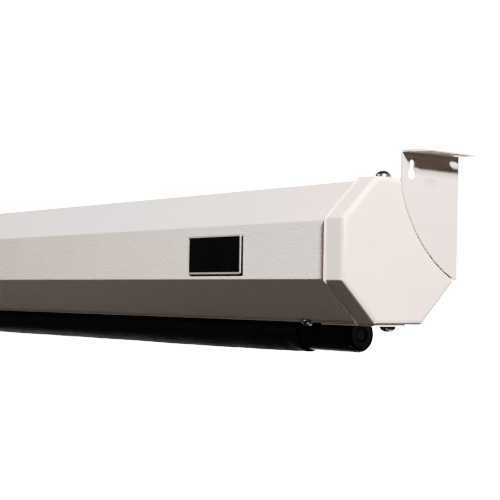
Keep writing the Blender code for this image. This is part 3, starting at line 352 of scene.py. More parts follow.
case = cut_sheet("case", [case_section()], "X", -case_high.x, case_high.x)
cap_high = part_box("end_cap_right")[1]
rim_x = cap_high.x - CAP_RIM
foot_x = middle_of("foot_screw_front_right").x
near, far = foot_x - BEAD_GAP, foot_x + BEAD_GAP
rear_corner, front_corner = octagon(0)[0][0], octagon(0)[7][0]
beads = [bead_outline(front_corner + BEAD_STEP), bead_outline(rear_corner - BEAD_WIDTH - BEAD_STEP)]
for x_low, x_high in ((far, rim_x), (-near, near), (-rim_x, -far)):
    case = take(case, cut_sheet("beads", beads, "X", x_low, x_high), "UNION")
holes = [
    circle((side * foot_x, middle_of("foot_screw_" + row + "_right").y), SHANK_HOLE, 24)
    for side in (-1, 1) for row in ("front", "rear")
]
case = take(case, cut_sheet("foot_holes", holes, "Z", case_low.z, case_bottom + 2 * SHEET))
case_paint = finish_material(
    "case_powder_coat", POWDER_COAT, (0.75, 0.658, 0.60), (0.915, 0.805, 0.745), (0.42, 0.56), 0.5, 0.0004,
    IOR=1.5,
)
fit(case, case_paint, "housing", "case_shell")

# End caps. Moulded cups with an octagonal face, pushed over the case's ends. The face's rim is well rounded,
# and the open edge flares. The left cap has holes for the gland, the control socket and the limit screws.

CAP_WALL = 0.00185
CAP_EDGE = 0.0042
CAP_CORNER = 0.0009
CAP_LIP = 0.0006
CAP_FLARE = 0.0024
CAP_FLARE_RISE = 0.0012
INLETS = {  # each hole's radius
    "cable_gland": 0.0066, "control_jack": 0.0037, "limit_screw_up": 0.0035, "limit_screw_down": 0.0035,
}


def moulding_group():
    """The skin of a moulded plastic: a fine spark texture under faint flow clouds."""
    group, entry, leave, place = texture_group("moulding", {"Grain scale": 1500.0})
    feed(group, leave.inputs["Tone"], noise(group, place, 30.0, 3.0, 0.6))
    feed(group, leave.inputs["Height"], noise(group, place, entry.outputs["Grain scale"]))
    return group


MOULDING = moulding_group()
cap_white = finish_material(
    "cap_moulding", MOULDING, (0.785, 0.69, 0.63), (0.835, 0.735, 0.675), (0.66, 0.76), 0.4, 0.0002,
    Grain_scale=600.0, Specular_IOR_Level=0.2,
)
cap_lip = finish_material(
    "cap_lip_moulding", MOULDING, (0.785, 0.69, 0.63), (0.835, 0.735, 0.675), (0.20, 0.30), 0.1, 0.00005,
    Grain_scale=600.0, Specular_IOR_Level=0.9,
)


def skin(shape, rows, closed=False):
    """Faces between neighbouring rows of vertices."""
    for row, following in zip(rows, rows[1:]):
        for i in range(0 if closed else 1, len(row)):
            shape.faces.new((row[i - 1], row[i], following[i], following[i - 1]))


def mesh_piece(name, shape):
    """Turns what was built face by face into an object."""
    mesh = bpy.data.meshes.new(name)
    shape.to_mesh(mesh)
    shape.free()
    return placed(name, mesh)


def make_cap(name, side):
    """One cap: its face and its rim, which flares at the open end, hollowed to the wall's thickness."""
    growth = cap_high.y - case_high.y
    rim = [(0, 0), (CAP_RIM - CAP_FLARE, 0), (CAP_RIM - CAP_FLARE * 0.75, CAP_FLARE_RISE * 0.1)]
    rim.append((CAP_RIM, CAP_FLARE_RISE))
    shape = bmesh.new()
    loops = []
    for inset, rise in rim:
        corners = octagon(-growth - rise)
        loops.append([shape.verts.new((side * (cap_high.x - inset), y, z)) for y, z in corners])
    face = shape.faces.new(loops[0])
    skin(shape, loops, closed=True)
    bmesh.ops.recalc_face_normals(shape, faces=shape.faces)
    face.normal_update()
    if face.normal.x * side < 0:
        bmesh.ops.reverse_faces(shape, faces=shape.faces)
    cap = mesh_piece(name + "_blank", shape)
    soften(cap, CAP_EDGE, 8, 60)
    soften(cap, CAP_CORNER, 3, 40)
    wall = cap.modifiers.new("wall", "SOLIDIFY")
    wall.thickness = CAP_WALL
    wall.offset = -1
    wall.use_even_offset = True
    return baked(cap, name)


caps = {end: make_cap("cap_" + end, side) for side, end in ENDS}
inlets = [circle(middle_of(node).yz, radius, 32) for node, radius in INLETS.items()]
inlet_tool = cut_sheet("inlet_holes", inlets, "X", -cap_high.x - CAP_WALL, 2 * CAP_WALL - cap_high.x)
caps["left"] = take(caps["left"], inlet_tool)
for end, cap in caps.items():
    soften(cap, CAP_LIP, 3, 50)
    fit(cap, cap_white, "housing", "end_cap_" + end, 24)
    cap.data.materials.append(cap_lip)
    for face in cap.data.polygons:
        if abs(face.center.x) < rim_x + CAP_FLARE * 0.8:
            face.material_index = 1

# Roller carriers. Two zinc-plated steel plates fill the case's section and stand on feet screwed to the
# slot's lips. The right one holds a white acetal bushing for the idler pin, and the left one the motor.


def plating_group():
    """Zinc plating: faint clouds, a fine crystalline grain and rolling lines along one way."""
    group, entry, leave, place = texture_group("plating", {"Grain scale": 700.0})
    clouds = noise(group, place, 55.0, 4.0, 0.6)
    grain = shader_node(group, "TexVoronoi", Vector=place, Scale=entry.outputs["Grain scale"])
    lines = noise(group, stretched(group, place, (1, 0.04, 1)), 900.0)
    streaks = reckon(group, "MULTIPLY", lines, 0.3)
    feed(group, leave.inputs["Tone"], reckon(group, "MULTIPLY_ADD", clouds, 0.7, streaks))
    feed(group, leave.inputs["Height"], reckon(group, "MULTIPLY_ADD", grain.outputs["Distance"], 0.5, lines))
    return group


PLATING = plating_group()
plate_zinc = finish_material(
    "zinc_plate", PLATING, (0.42, 0.42, 0.43), (0.66, 0.66, 0.65), (0.28, 0.48), 0.3, 0.00008, Metallic=1.0,
)
pale_moulding = finish_material(
    "pale_acetal", MOULDING, (0.70, 0.69, 0.64), (0.78, 0.77, 0.73), (0.30, 0.42), 0.2, 0.0001,
)


def dress(material, *names):
    """Gives a finish to CAD nodes whose own shape stays."""
    for name in names:
        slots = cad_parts[name].data.materials
        slots.clear()
        slots.append(material)


dress(plate_zinc, "idler_plate", "motor_plate")
dress(pale_moulding, "idler_bushing")

# Motor. A steel barrel inside the roller, with a black moulded head fixed on its plate. A white and a red
# screw in the head set where the screen stops, and the shaft turns a notched wheel in the tube.


def drawn_tube_group():
    """A drawn or extruded tube: fine lines along X under faint clouds."""
    group, _, leave, place = texture_group("drawn_tube")
    lines = noise(group, stretched(group, place, (0.01, 1, 1)), 1500.0, 3.0)
    clouds = noise(group, stretched(group, place, (0.3, 1, 1)), 40.0, 3.0)
    tone = reckon(group, "MULTIPLY", reckon(group, "ADD", lines, clouds), 0.5)
    feed(group, leave.inputs["Tone"], tone)
    feed(group, leave.inputs["Height"], lines)
    return group


DRAWN_TUBE = drawn_tube_group()
barrel_steel = finish_material(
    "barrel_steel", DRAWN_TUBE, (0.36, 0.36, 0.37), (0.52, 0.52, 0.52), (0.30, 0.45), 0.3, 0.00008,
    Metallic=1.0,
)
ground_steel = finish_material(
    "ground_steel", PLATING, (0.50, 0.50, 0.50), (0.62, 0.62, 0.61), (0.20, 0.30), 0.15, 0.00005,
    Grain_scale=1600.0, Metallic=1.0,
)
black_moulding = finish_material(
    "black_moulding", MOULDING, (0.012, 0.012, 0.013), (0.024, 0.024, 0.025), (0.38, 0.52), 0.3, 0.0001,
)
white_screw = finish_material(
    "white_adjuster", MOULDING, (0.66, 0.66, 0.62), (0.74, 0.74, 0.70), (0.32, 0.42), 0.2, 0.0001,
)
red_screw = finish_material(
    "red_adjuster", MOULDING, (0.45, 0.03, 0.015), (0.55, 0.05, 0.025), (0.32, 0.42), 0.2, 0.0001,
)
dress(barrel_steel, "motor_barrel")
dress(ground_steel, "motor_shaft", "idler_pin", "pin_clip")
dress(black_moulding, "motor_head", "drive_wheel", "idler_plug", "fabric_spline")
dress(pale_moulding, "limit_crown")
dress(white_screw, "limit_screw_up")
dress(red_screw, "limit_screw_down")

# Roller tube. An extruded aluminium tube with a groove along it. A black plastic spline holds the fabric's
# edge in the groove, and the moulded plug at the right end turns on its steel pin.

tube_aluminium = finish_material(
    "tube_aluminium", DRAWN_TUBE, (0.62, 0.62, 0.62), (0.76, 0.76, 0.75), (0.26, 0.40), 0.3, 0.00008,
    Metallic=1.0,
)
dress(tube_aluminium, "roller_tube")

# Wound fabric. The rest of the screen's cloth, wound about nine and a half turns round the tube with its
# black back outwards. It leaves the roll at the rear and goes down to the slot.

CLOTH = 0.0003
TURN_PITCH = 0.000364
TURN_STEPS = 72
TUBE_SLACK = 0.0005
roll_low, roll_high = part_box("fabric_roll")
tube_low, tube_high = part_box("roller_tube")
roller_y, roller_z = (tube_low.y + tube_high.y) / 2, (tube_low.z + tube_high.z) / 2
inner_radius = (tube_high.y - tube_low.y) / 2 + TUBE_SLACK
outer_radius = roll_high.y - roller_y - CLOTH / 2
turns = (outer_radius - inner_radius) / TURN_PITCH


def weave_group():
    """Coated cloth: threads crossing at right angles, with a soft unevenness."""
    group, _, leave, place = texture_group("weave")
    threads = []
    for way in "XYZ":
        wave = shader_node(group, "TexWave", {"bands_direction": way}, Vector=place, Scale=520.0)
        wave.inputs["Distortion"].default_value = 0.6
        wave.inputs["Detail"].default_value = 1.0
        threads.append(wave.outputs["Fac"])
    crossing = reckon(group, "MULTIPLY", threads[0], reckon(group, "ADD", threads[1], threads[2]))
    clouds = noise(group, place, 60.0, 3.0, 0.6)
    feed(group, leave.inputs["Height"], reckon(group, "ADD", crossing, noise(group, place, 400.0)))
    patches = reckon(group, "MULTIPLY", clouds, 0.6)
    feed(group, leave.inputs["Tone"], reckon(group, "MULTIPLY_ADD", crossing, 0.25, patches))
    return group


WEAVE = weave_group()
black_back = finish_material(
    "black_cloth_back", WEAVE, (0.007, 0.007, 0.007), (0.016, 0.016, 0.016), (0.55, 0.72), 0.35, 0.00008,
)


def thin_strip(name, stations, x_values):
    """A closed thin cloth: a line of (y, z) spots with their normals, carried along the X values."""
    shape = bmesh.new()
    sheets = []
    for side in (CLOTH / 2, -CLOTH / 2):
        spots = [(y + side * ny, z + side * nz) for (y, z), (ny, nz) in stations]
        rows = [[shape.verts.new((x, *spot)) for x in x_values] for spot in spots]
        sheets.append(rows)
        skin(shape, rows)
    front, back = sheets
    for end in (0, -1):
        skin(shape, [front[end], back[end]])
        skin(shape, [[row[end] for row in front], [row[end] for row in back]])
    bmesh.ops.recalc_face_normals(shape, faces=shape.faces)
    return mesh_piece(name, shape)


spiral = []
for step in range(round(turns * TURN_STEPS) + 1):
    turned_back = step / TURN_STEPS
    angle = math.tau * turned_back
    radius = outer_radius - TURN_PITCH * turned_back
    ray = (math.cos(angle), -math.sin(angle))
    spiral.append(((roller_y + radius * ray[0], roller_z + radius * ray[1]), ray))
x_values = [roll_low.x + (roll_high.x - roll_low.x) * i / 24 for i in range(25)]
wound = thin_strip("wound_fabric", spiral, x_values)
fit(wound, black_back, "roller", "fabric_roll", 60)

# Free fabric. The stretch between the roll and the pocket. Its lowest 38 mm is the black bottom border. Above
# come the white picture between black side borders, and the black drop, which show as the bar goes down.

BORDER = 0.038
BLACK_DROP = 0.200
PICTURE_HEIGHT = 1.046
PICTURE_HALF = 0.930
STRETCH_ROWS = 60
free_low, free_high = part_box("screen_fabric")
full_drop = BORDER + PICTURE_HEIGHT + BLACK_DROP
free_y = (free_low.y + free_high.y) / 2
rigid_top = free_low.z + BORDER
heights = [free_low.z + BORDER * i / 4 for i in range(5)]
lengths = [BORDER * i / 4 for i in range(5)]
for i in range(1, STRETCH_ROWS + 1):
    share = i / STRETCH_ROWS
    # The rows are spaced by a smooth step of their height, taken backwards.
    down = 0.5 + math.sin(math.asin(1 - 2 * share) / 3)
    heights.append(free_high.z - (free_high.z - rigid_top) * down)
    lengths.append(BORDER + (full_drop - BORDER) * share)
x_values = [free_low.x] + [PICTURE_HALF * (i / 15 - 1) for i in range(31)] + [free_high.x]
free = thin_strip("free_fabric", [((free_y, z), (-1.0, 0.0)) for z in heights], x_values)
along = free.data.attributes.new("along_the_cloth", "FLOAT", "POINT")
along.data.foreach_set("value", [float(np.interp(v.co.z, heights, lengths)) for v in free.data.vertices])


def picture_cloth():
    """Matt white picture area with black borders, placed by the length along the cloth."""
    material = bpy.data.materials.new("picture_cloth")
    material.use_nodes = True
    tree = material.node_tree
    shader = tree.nodes["Principled BSDF"]
    length = shader_node(tree, "Attribute", {"attribute_name": "along_the_cloth"}).outputs["Fac"]
    place = shader_node(tree, "TexCoord").outputs["Object"]
    across = shader_node(tree, "SeparateXYZ", Vector=place).outputs["X"]
    beside = reckon(tree, "LESS_THAN", reckon(tree, "ABSOLUTE", across), PICTURE_HALF)
    above = reckon(tree, "GREATER_THAN", length, BORDER)
    below = reckon(tree, "LESS_THAN", length, BORDER + PICTURE_HEIGHT)
    white = reckon(tree, "MULTIPLY", beside, reckon(tree, "MULTIPLY", above, below))
    place = shader_node(tree, "CombineXYZ", X=across, Y=length).outputs["Vector"]
    grain = noise(tree, place, 900.0)
    shades = mixed(tree, noise(tree, place, 6.0), (0.78, 0.78, 0.775, 1), (0.84, 0.84, 0.835, 1))
    feed(tree, shader.inputs["Base Color"], mixed(tree, white, (0.011, 0.011, 0.0115, 1), shades))
    rough = reckon(tree, "MULTIPLY_ADD", grain, 0.1, reckon(tree, "MULTIPLY", white, 0.2))
    feed(tree, shader.inputs["Roughness"], reckon(tree, "ADD", rough, 0.55))
    raise_surface(tree, shader, grain, 0.15, 0.0001)
    return material


free.data.materials.append(picture_cloth())
free.data.materials.append(black_back)
for face in free.data.polygons:
    face.material_index = 0 if face.normal.y < -0.5 else 1
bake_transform(free)
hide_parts("screen_fabric")

# Fabric pocket. The cloth's foot is folded round the weight bar and welded to itself in a flat band above it.
# It hangs a little slack under the bar, and is pinched and creased at its two ends.

POCKET_CLOTH = 0.0008
POCKET_CLEAR = 0.0003
POCKET_BEYOND = 0.0070
SAG = 0.0014
SAG_AT_END = 0.15  # as a share
SAG_RUN = 0.075  # over which it grows
WELD = 0.0070
WELD_HALF = 0.0009  # half the thickness of the welded band
NECK_EASE = Vector((0.0006, -0.0035))
PINCH = 0.030
LOOSE_WAVE = 0.00025
SHORT_WAVE = 0.0002
END_CREASE = 0.0005
NECK_STEPS = 8
ROUND_STEPS = 48
END_ROWS = 34
END_PITCH = 0.0018
MIDDLE_ROWS = 170
hem_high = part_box("hem_pocket")[1]
bar_low, bar_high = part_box("weight_bar")
bar_spot = middle_of("weight_bar").yz
bar_radius = (bar_high.y - bar_low.y) / 2
pocket_radius = bar_radius + POCKET_CLEAR + POCKET_CLOTH
pocket_tail = hem_high.z - (bar_low.z + bar_high.z) / 2
pocket_half = hem_high.x + POCKET_BEYOND


def pocket_line():
    """The pocket's outer line in its loose middle: (spot, outward direction, how far below the bar)."""
    neck = Vector((WELD_HALF, pocket_tail - WELD))
    lean = math.asin(pocket_radius / pocket_tail)
    touch = Vector((math.cos(lean), math.sin(lean))) * pocket_radius
    points = [(Vector((WELD_HALF, pocket_tail - WELD * i / 3)), Vector((1, 0)), 0.0) for i in range(3)]
    for i in range(NECK_STEPS):
        t = i / NECK_STEPS
        curve = neck * (1 - t) ** 2 + 2 * t * (1 - t) * (neck + NECK_EASE) + touch * t * t
        points.append((curve, Vector((math.cos(lean * 0.9), math.sin(lean * 0.9))), 0.0))
    for i in range(ROUND_STEPS + 1):
        angle = lean - (math.pi + 2 * lean) * i / ROUND_STEPS
        ray = Vector((math.cos(angle), math.sin(angle)))
        points.append((ray * pocket_radius, ray, max(0.0, -math.sin(angle)) ** 2))
    for spot, ray, below in points[NECK_STEPS + 2::-1]:
        points.append((Vector((-spot.x, spot.y)), Vector((-ray.x, ray.y)), below))
    return points


def crease(x, turn):
    """How far the cloth stands off the bar: loose waves, and sharper creases near the ends."""
    from_end = pocket_half - abs(x)
    loose = 0.5 + 0.5 * math.sin(x * 19.0 + 1.3 * math.sin(x * 7.0))
    waves = 0.5 + 0.5 * math.sin(x * 61.0 + turn * 2.0 + math.sin(x * 23.0))
    folds = 0.5 + 0.5 * math.sin(from_end * 260.0 - turn * 3.2)
    return LOOSE_WAVE * loose + SHORT_WAVE * waves + END_CREASE * math.exp(-from_end / PINCH) * folds ** 2


line = pocket_line()
near_ends = [pocket_half - END_PITCH * i for i in range(END_ROWS)]
between = [near_ends[-1] * (2 * i / MIDDLE_ROWS - 1) for i in range(1, MIDDLE_ROWS)]
shape = bmesh.new()
rings = []
for x in [-x for x in near_ends] + between + near_ends[::-1]:
    slack = SAG * min(1.0, SAG_AT_END + (pocket_half - abs(x)) / SAG_RUN)
    ring = []
    for index, (spot, ray, below) in enumerate(line):
        round_bar = NECK_STEPS + 3 <= index <= NECK_STEPS + ROUND_STEPS + 3
        lift = slack * below + (crease(x, math.tau * index / len(line)) if round_bar else 0.0)
        ring.append(shape.verts.new((x, *(bar_spot + spot + ray * lift))))
    rings.append(ring)
skin(shape, rings)
bmesh.ops.recalc_face_normals(shape, faces=shape.faces)
pocket = mesh_piece("pocket_blank", shape)
if sum(f.normal.yz.dot(f.center.yz - bar_spot) for f in pocket.data.polygons) < 0:
    pocket.data.flip_normals()
cloth = pocket.modifiers.new("cloth", "SOLIDIFY")
cloth.thickness = POCKET_CLOTH
cloth.offset = -1
pocket = baked(pocket, "pocket")
pocket_cloth = finish_material(
    "pocket_cloth", WEAVE, (0.005, 0.0045, 0.004), (0.011, 0.0095, 0.0085), (0.42, 0.60), 0.4, 0.0001,
)
fit(pocket, pocket_cloth, "weight_bar_body", "hem_pocket", 50)

# Weight bar. A round aluminium tube, painted gloss black, that pulls the cloth flat. At each end a black
# moulded plug as wide as the tube closes it, with a rounded edge and a shallow dish in its face. The dish's
# floor is painted lighter, as a painted highlight.

BAR_WALL = 0.0014
PLUG_BEYOND = 0.0008
PLUG_EDGE = 0.0040
PLUG_DISH = 0.0012
PLUG_SEAM = 0.0003
DISH_CURVE = 0.0006
DISH_RIM = 0.0007
DISH_SLOPE = 0.0015  # width of its sloping side
SMALL_EDGE = 0.0004
SPIGOT_EDGE = 0.0008
SPIGOT_SLACK = 0.0003


def turned(name, profile, centre, toward, steps=64, ring=False):
    """A turned shape. The profile holds (radius, height) from its top down the outer side."""
    mesh = bpy.data.meshes.new(name)
    last = len(profile)
    edges = [(i, (i + 1) % last) for i in range(last if ring else last - 1)]
    mesh.from_pydata([(radius, 0, height) for radius, height in profile], edges, [])
    blank = placed(name + "_blank", mesh)
    turn = Vector(toward).to_track_quat("Z", "Y").to_matrix().to_4x4()
    blank.matrix_world = Matrix.Translation(centre) @ turn
    screw = blank.modifiers.new("turn", "SCREW")
    screw.steps = steps
    screw.render_steps = steps
    screw.use_merge_vertices = True
    screw.merge_threshold = 1e-5
    return baked(blank, name)


gloss_black = finish_material(
    "gloss_black_paint", DRAWN_TUBE, (0.004, 0.004, 0.004), (0.008, 0.008, 0.008), (0.20, 0.30), 0.1, 0.00005,
)
plug_black = finish_material(
    "plug_moulding", MOULDING, (0.003, 0.003, 0.0028), (0.007, 0.0065, 0.006), (0.26, 0.36), 0.25, 0.00012,
    Grain_scale=700.0,
)
dish_painted_highlight = finish_material(
    "plug_dish_painted_highlight", MOULDING, (0.02, 0.018, 0.015), (0.05, 0.045, 0.038), (0.35, 0.50), 0.4, 0.0002,
    Grain_scale=500.0, Specular_IOR_Level=1.0,
)
rings_of_bar = [circle(bar_spot, bar_radius - wall, 96) for wall in (0, BAR_WALL)]
bar = cut_sheet("weight_bar_tube", rings_of_bar, "X", bar_low.x, bar_high.x)
fit(bar, gloss_black, "weight_bar_body", "weight_bar")
for side, end in ENDS:
    low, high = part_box("bar_cap_" + end)
    face_x = (high.x if side > 0 else -low.x) + PLUG_BEYOND
    collar = face_x - bar_high.x - PLUG_SEAM
    spigot = bar_radius - BAR_WALL - SPIGOT_SLACK
    foot = -(high.x - low.x) - PLUG_BEYOND
    dish = bar_radius / 3
    flat = dish - SMALL_EDGE
    profile = [(0, -PLUG_DISH), (flat, -PLUG_DISH)]
    profile += arc((flat, DISH_CURVE - PLUG_DISH), DISH_CURVE, -90, -45, 2)[1:]
    profile += arc((dish + DISH_SLOPE, -DISH_RIM), DISH_RIM, 135, 90, 3)
    profile += arc((bar_radius - PLUG_EDGE, -PLUG_EDGE), PLUG_EDGE, 90, 0, 10)
    profile += [(bar_radius, SMALL_EDGE - collar), (bar_radius - SMALL_EDGE, -collar), (spigot, -collar)]
    profile += [(spigot, foot + SPIGOT_EDGE), (spigot - SPIGOT_EDGE, foot), (0, foot)]
    plug = turned("bar_plug_" + end, profile, (side * face_x, *bar_spot), (side, 0, 0), 96)
    fit(plug, plug_black, "weight_bar_body", "bar_cap_" + end)
    # The faces of the dish's floor get a lighter, glossier moulding: a painted highlight.
    plug.data.materials.append(dish_painted_highlight)
    for face in plug.data.polygons:
        if (face.center.yz - bar_spot).length < dish and side * face.center.x > face_x - 2 * PLUG_DISH:
            face.material_index = 1

# End plates and control box. Zinc-plated plates close the case behind the caps. The grey moulded box under
# the roof at the left holds the receiver and its switch, with rubber leads to the gland and to the motor.

grey_moulding = finish_material(
    "grey_moulding", MOULDING, (0.10, 0.10, 0.105), (0.15, 0.15, 0.155), (0.42, 0.55), 0.4, 0.00015,
)
lead_rubber = finish_material(
    "lead_rubber", MOULDING, (0.014, 0.014, 0.014), (0.026, 0.026, 0.026), (0.45, 0.60), 0.3, 0.0001,
    Grain_scale=1200.0,
)
dress(plate_zinc, "end_plate_right", "end_plate_left")
dress(grey_moulding, "control_box", "control_box_lid")
dress(lead_rubber, "mains_lead", "motor_lead")
for side in ("right", "left"):
    for row in ("front_", "rear_"):
        dress(plate_zinc, "hanger_stud_" + row + side, "hanger_nut_" + row + side)

# Cable gland and control socket. Black mouldings in the left cap: a gland whose notched nut clamps a rubber
# ring round the mains cord, and a small round socket for a remote eye.

SEAT = 0.0003
GLAND_BORE = 0.0040
GLAND_BODY = 0.0065
GLAND_EDGE = 0.0016
NOTCHES = 12
NOTCH = 0.0012
NOTCH_OUT = 0.0005  # its centre, from the nut's edge
RING_BORE = 0.0031
RING_GAP = 0.0002
RING_SUNK = 0.0010
RING_EDGE = 0.0004
SOCKET_HOLE = 0.0018
HOLE_EDGE = 0.0003
SOCKET_FLOOR = 0.0036
SOCKET_BODY = 0.0035
SOCKET_FLANGE = 0.00475
FINE_EDGE = 0.0004
gland_low, gland_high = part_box("cable_gland")
gland_spot = middle_of("cable_gland").yz
gland_top = -cap_high.x - gland_low.x
gland_deep = -cap_high.x - gland_high.x
gland_nut = (gland_high.z - gland_low.z) / 2
profile = [(GLAND_BORE + FINE_EDGE, gland_top)]
profile += arc((gland_nut - GLAND_EDGE, gland_top - GLAND_EDGE), GLAND_EDGE, 90, 0, 6)
profile += [(gland_nut, SEAT), (GLAND_BODY, SEAT), (GLAND_BODY, gland_deep), (GLAND_BORE, gland_deep)]
profile.append((GLAND_BORE, gland_top - FINE_EDGE))
gland = turned("gland", profile, (-cap_high.x, *gland_spot), (-1, 0, 0), 72, ring=True)
spots = circle(gland_spot, gland_nut + NOTCH_OUT, NOTCHES)
notches = [circle(spot, NOTCH, 16) for spot in spots]
gland = take(gland, cut_sheet("notches", notches, "X", gland_low.x - BEYOND, -cap_high.x - NOTCH))
ring_top, outside = gland_top - RING_SUNK, GLAND_BORE - RING_GAP
profile = [(RING_BORE, ring_top), (outside, ring_top + RING_EDGE), (outside, 0), (RING_BORE, 0)]
gland_ring = turned("gland_ring", profile, (-cap_high.x, *gland_spot), (-1, 0, 0), 48, ring=True)
low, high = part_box("control_jack")
top = -cap_high.x - low.x
deep = -cap_high.x - high.x
profile = [(0, deep + SOCKET_FLOOR), (SOCKET_HOLE, deep + SOCKET_FLOOR), (SOCKET_HOLE, top - HOLE_EDGE)]
profile.append((SOCKET_HOLE + HOLE_EDGE, top))
profile += arc((SOCKET_FLANGE - FINE_EDGE, top - FINE_EDGE), FINE_EDGE, 90, 0, 4)
profile += [(SOCKET_FLANGE, SEAT), (SOCKET_BODY, SEAT), (SOCKET_BODY, deep), (0, deep)]
socket_spot = (-cap_high.x, *middle_of("control_jack").yz)
socket = turned("control_socket", profile, socket_spot, (-1, 0, 0), 48)
fit(gland, black_moulding, "housing", "cable_gland")
fit(gland_ring, lead_rubber, "housing", "cable_gland")
fit(socket, black_moulding, "housing", "control_jack")

# Screws. Dark nickel screws with domed heads and a cross recess: one on top of each cap, one below it, and
# two in the slot's lips near each end, which hold the roller carriers.

SHANK = 0.00225
GRIP = {"cap": 0.0080, "foot": 0.0056}
HEAD_WIDER = {"cap": 0.0004, "foot": 0.0012}
HEAD_TALLER = 0.0012
HEAD_FORWARD = 0.0012
DOME = (1.45, 1.3, 1.1, 0.9, 0.7, 0.5, 0.35, 0.22)  # angles over the dome, in radians
HEAD_EDGE = 0.0006
HEAD_UNDERCUT = 0.0002
THREAD_END = 0.0005
CROSS_LONG = 0.46  # shares of the head's radius
CROSS_NARROW = 0.12
CROSS_FLOOR = 0.45  # share of the head's height
dark_nickel = finish_material(
    "dark_nickel", PLATING, (0.30, 0.295, 0.285), (0.46, 0.45, 0.44), (0.22, 0.34), 0.10, 0.00004,
    Grain_scale=1400.0, Metallic=1.0,
)
for side in ("right", "left"):
    for node in ("cap_screw_top_", "cap_screw_bottom_", "foot_screw_front_", "foot_screw_rear_"):
        low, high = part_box(node + side)
        kind = node.split("_")[0]
        upward = 1 if "top" in node else -1
        grip = GRIP[kind]
        head = (high.x - low.x) / 2 + HEAD_WIDER[kind]
        rise = high.z - low.z - grip + (0 if "bottom" in node else HEAD_TALLER)
        seat = low.z + grip if upward > 0 else high.z - grip
        profile = [(0, rise)] + [(head * math.cos(a), rise * math.sin(a)) for a in DOME]
        profile += [(head, HEAD_EDGE), (head - HEAD_UNDERCUT, 0), (SHANK, 0), (SHANK, THREAD_END - grip)]
        profile += [(SHANK - THREAD_END, -grip), (0, -grip)]
        centre = Vector(((low.x + high.x) / 2, (low.y + high.y) / 2 - HEAD_FORWARD, seat))
        screw = turned(node + side + "_head", profile, centre, (0, 0, upward), 40)
        wide, narrow = head * CROSS_LONG, head * CROSS_NARROW
        arm = [(wide, -narrow), (wide, narrow), (narrow, narrow)]
        half_cross = arm + [(-y, x) for x, y in arm]
        cross = half_cross + [(-x, -y) for x, y in half_cross]
        recess = [(centre.x + x, centre.y + y) for x, y in cross]
        deep = sorted((seat + upward * rise * CROSS_FLOOR, seat + upward * rise * 1.5))
        screw = take(screw, cut_sheet("cross", [recess], "Z", *deep))
        fit(screw, dark_nickel, "housing", node + side)

# Hangers. An L of white painted sheet steel on each cap. Its shelf goes to the ceiling with one short slot.
# Its side plate has a keyhole, a faint shallow dent painted a little darker, and a front edge cut to a long
# curve down to the rear.

HANGER_SHEET = 0.0015
HANGER_FOLD = 0.0010
HANGER_EDGE = 0.00025
ARC_RADIUS = 0.113
ARC_TOP = 0.0070
TIP_CUT = 0.0004
PLATE_TAPER = 0.0014
KEY_SLOT = 0.00235
KEY_ROUND = 0.0043
KEY_FROM_EDGE = 0.0106
KEY_RISE = 0.0090
KEY_SUNK = 0.0009  # below the cap's top
SHELF_CORNER = 0.0150
SHELF_HOLE = 0.0033
SHELF_HOLE_LONG = 0.0016
HOLE_FROM_REAR = 0.0088
SHELF_LIFT = 0.0003  # at its front
SHELF_FALL = 0.0012  # from there to its rear
EDGE_THINNER = 0.0006
MARK_SPOT = Vector((-0.0228, -0.0247))
MARK_RADIUS = 0.0060
MARK_DEEP = 0.0003
MARK_SHAPE = Vector((1.3, 0.7))  # a low oval
hanger_paint = finish_material(
    "hanger_paint", POWDER_COAT, (0.71, 0.635, 0.58), (0.81, 0.725, 0.665), (0.50, 0.60), 0.25, 0.0002,
    Peel=0.5, Specular_IOR_Level=0.35,
)
darker_dent_paint = finish_material(
    "hanger_dent_darker", POWDER_COAT, (0.62, 0.555, 0.50), (0.72, 0.645, 0.59), (0.50, 0.60), 0.25, 0.0002,
    Peel=0.5, Specular_IOR_Level=0.3,
)
hanger_low, hanger_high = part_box("hanger_right")
hanger_front, hanger_rear = hanger_low.y, hanger_high.y
plate_x, tip_x = hanger_low.x, hanger_high.x
plate_face = plate_x + HANGER_SHEET
shelf_z = hanger_high.z
key_y = hanger_front + KEY_FROM_EDGE
key_z = cap_high.z - KEY_SUNK + KEY_ROUND
meet = math.degrees(math.asin(KEY_SLOT / KEY_ROUND))
keyhole = arc((key_y, key_z), KEY_ROUND, 90 + meet, 450 - meet, 36)
keyhole += arc((key_y, key_z + KEY_RISE), KEY_SLOT, 0, 180, 16)
arc_start = Vector((hanger_front, cap_high.z - ARC_TOP))
arc_stop = Vector((hanger_rear, hanger_low.z))
chord = arc_stop - arc_start
rise = math.sqrt(ARC_RADIUS**2 - (chord.length / 2) ** 2)
centre = (arc_start + arc_stop) / 2 + Vector((-chord.y, chord.x)).normalized() * rise
first = math.degrees(math.atan2(*(arc_start - centre).yx)) % 360
last = math.degrees(math.atan2(*(arc_stop - centre).yx)) % 360
curve = arc(centre, ARC_RADIUS, first, last, 56)
ahead, behind, below = hanger_front - BEYOND, hanger_rear + 0.0001, hanger_low.z - BEYOND
waste = curve[:-1] + [(behind, curve[-2][1] + TIP_CUT), (behind, below), (ahead, below), (ahead, curve[0][1])]


def keep_plate_flat(piece):
    """Marks the border of the flat side plate as sharp, so that its long triangles shade flat."""
    sides = {}
    for face in piece.data.polygons:
        for ends in face.edge_keys:
            sides.setdefault(ends, set()).add(abs(face.normal.x) > 0.9999)
    for edge in piece.data.edges:
        edge.use_edge_sharp = edge.use_edge_sharp or len(sides[edge.key]) > 1


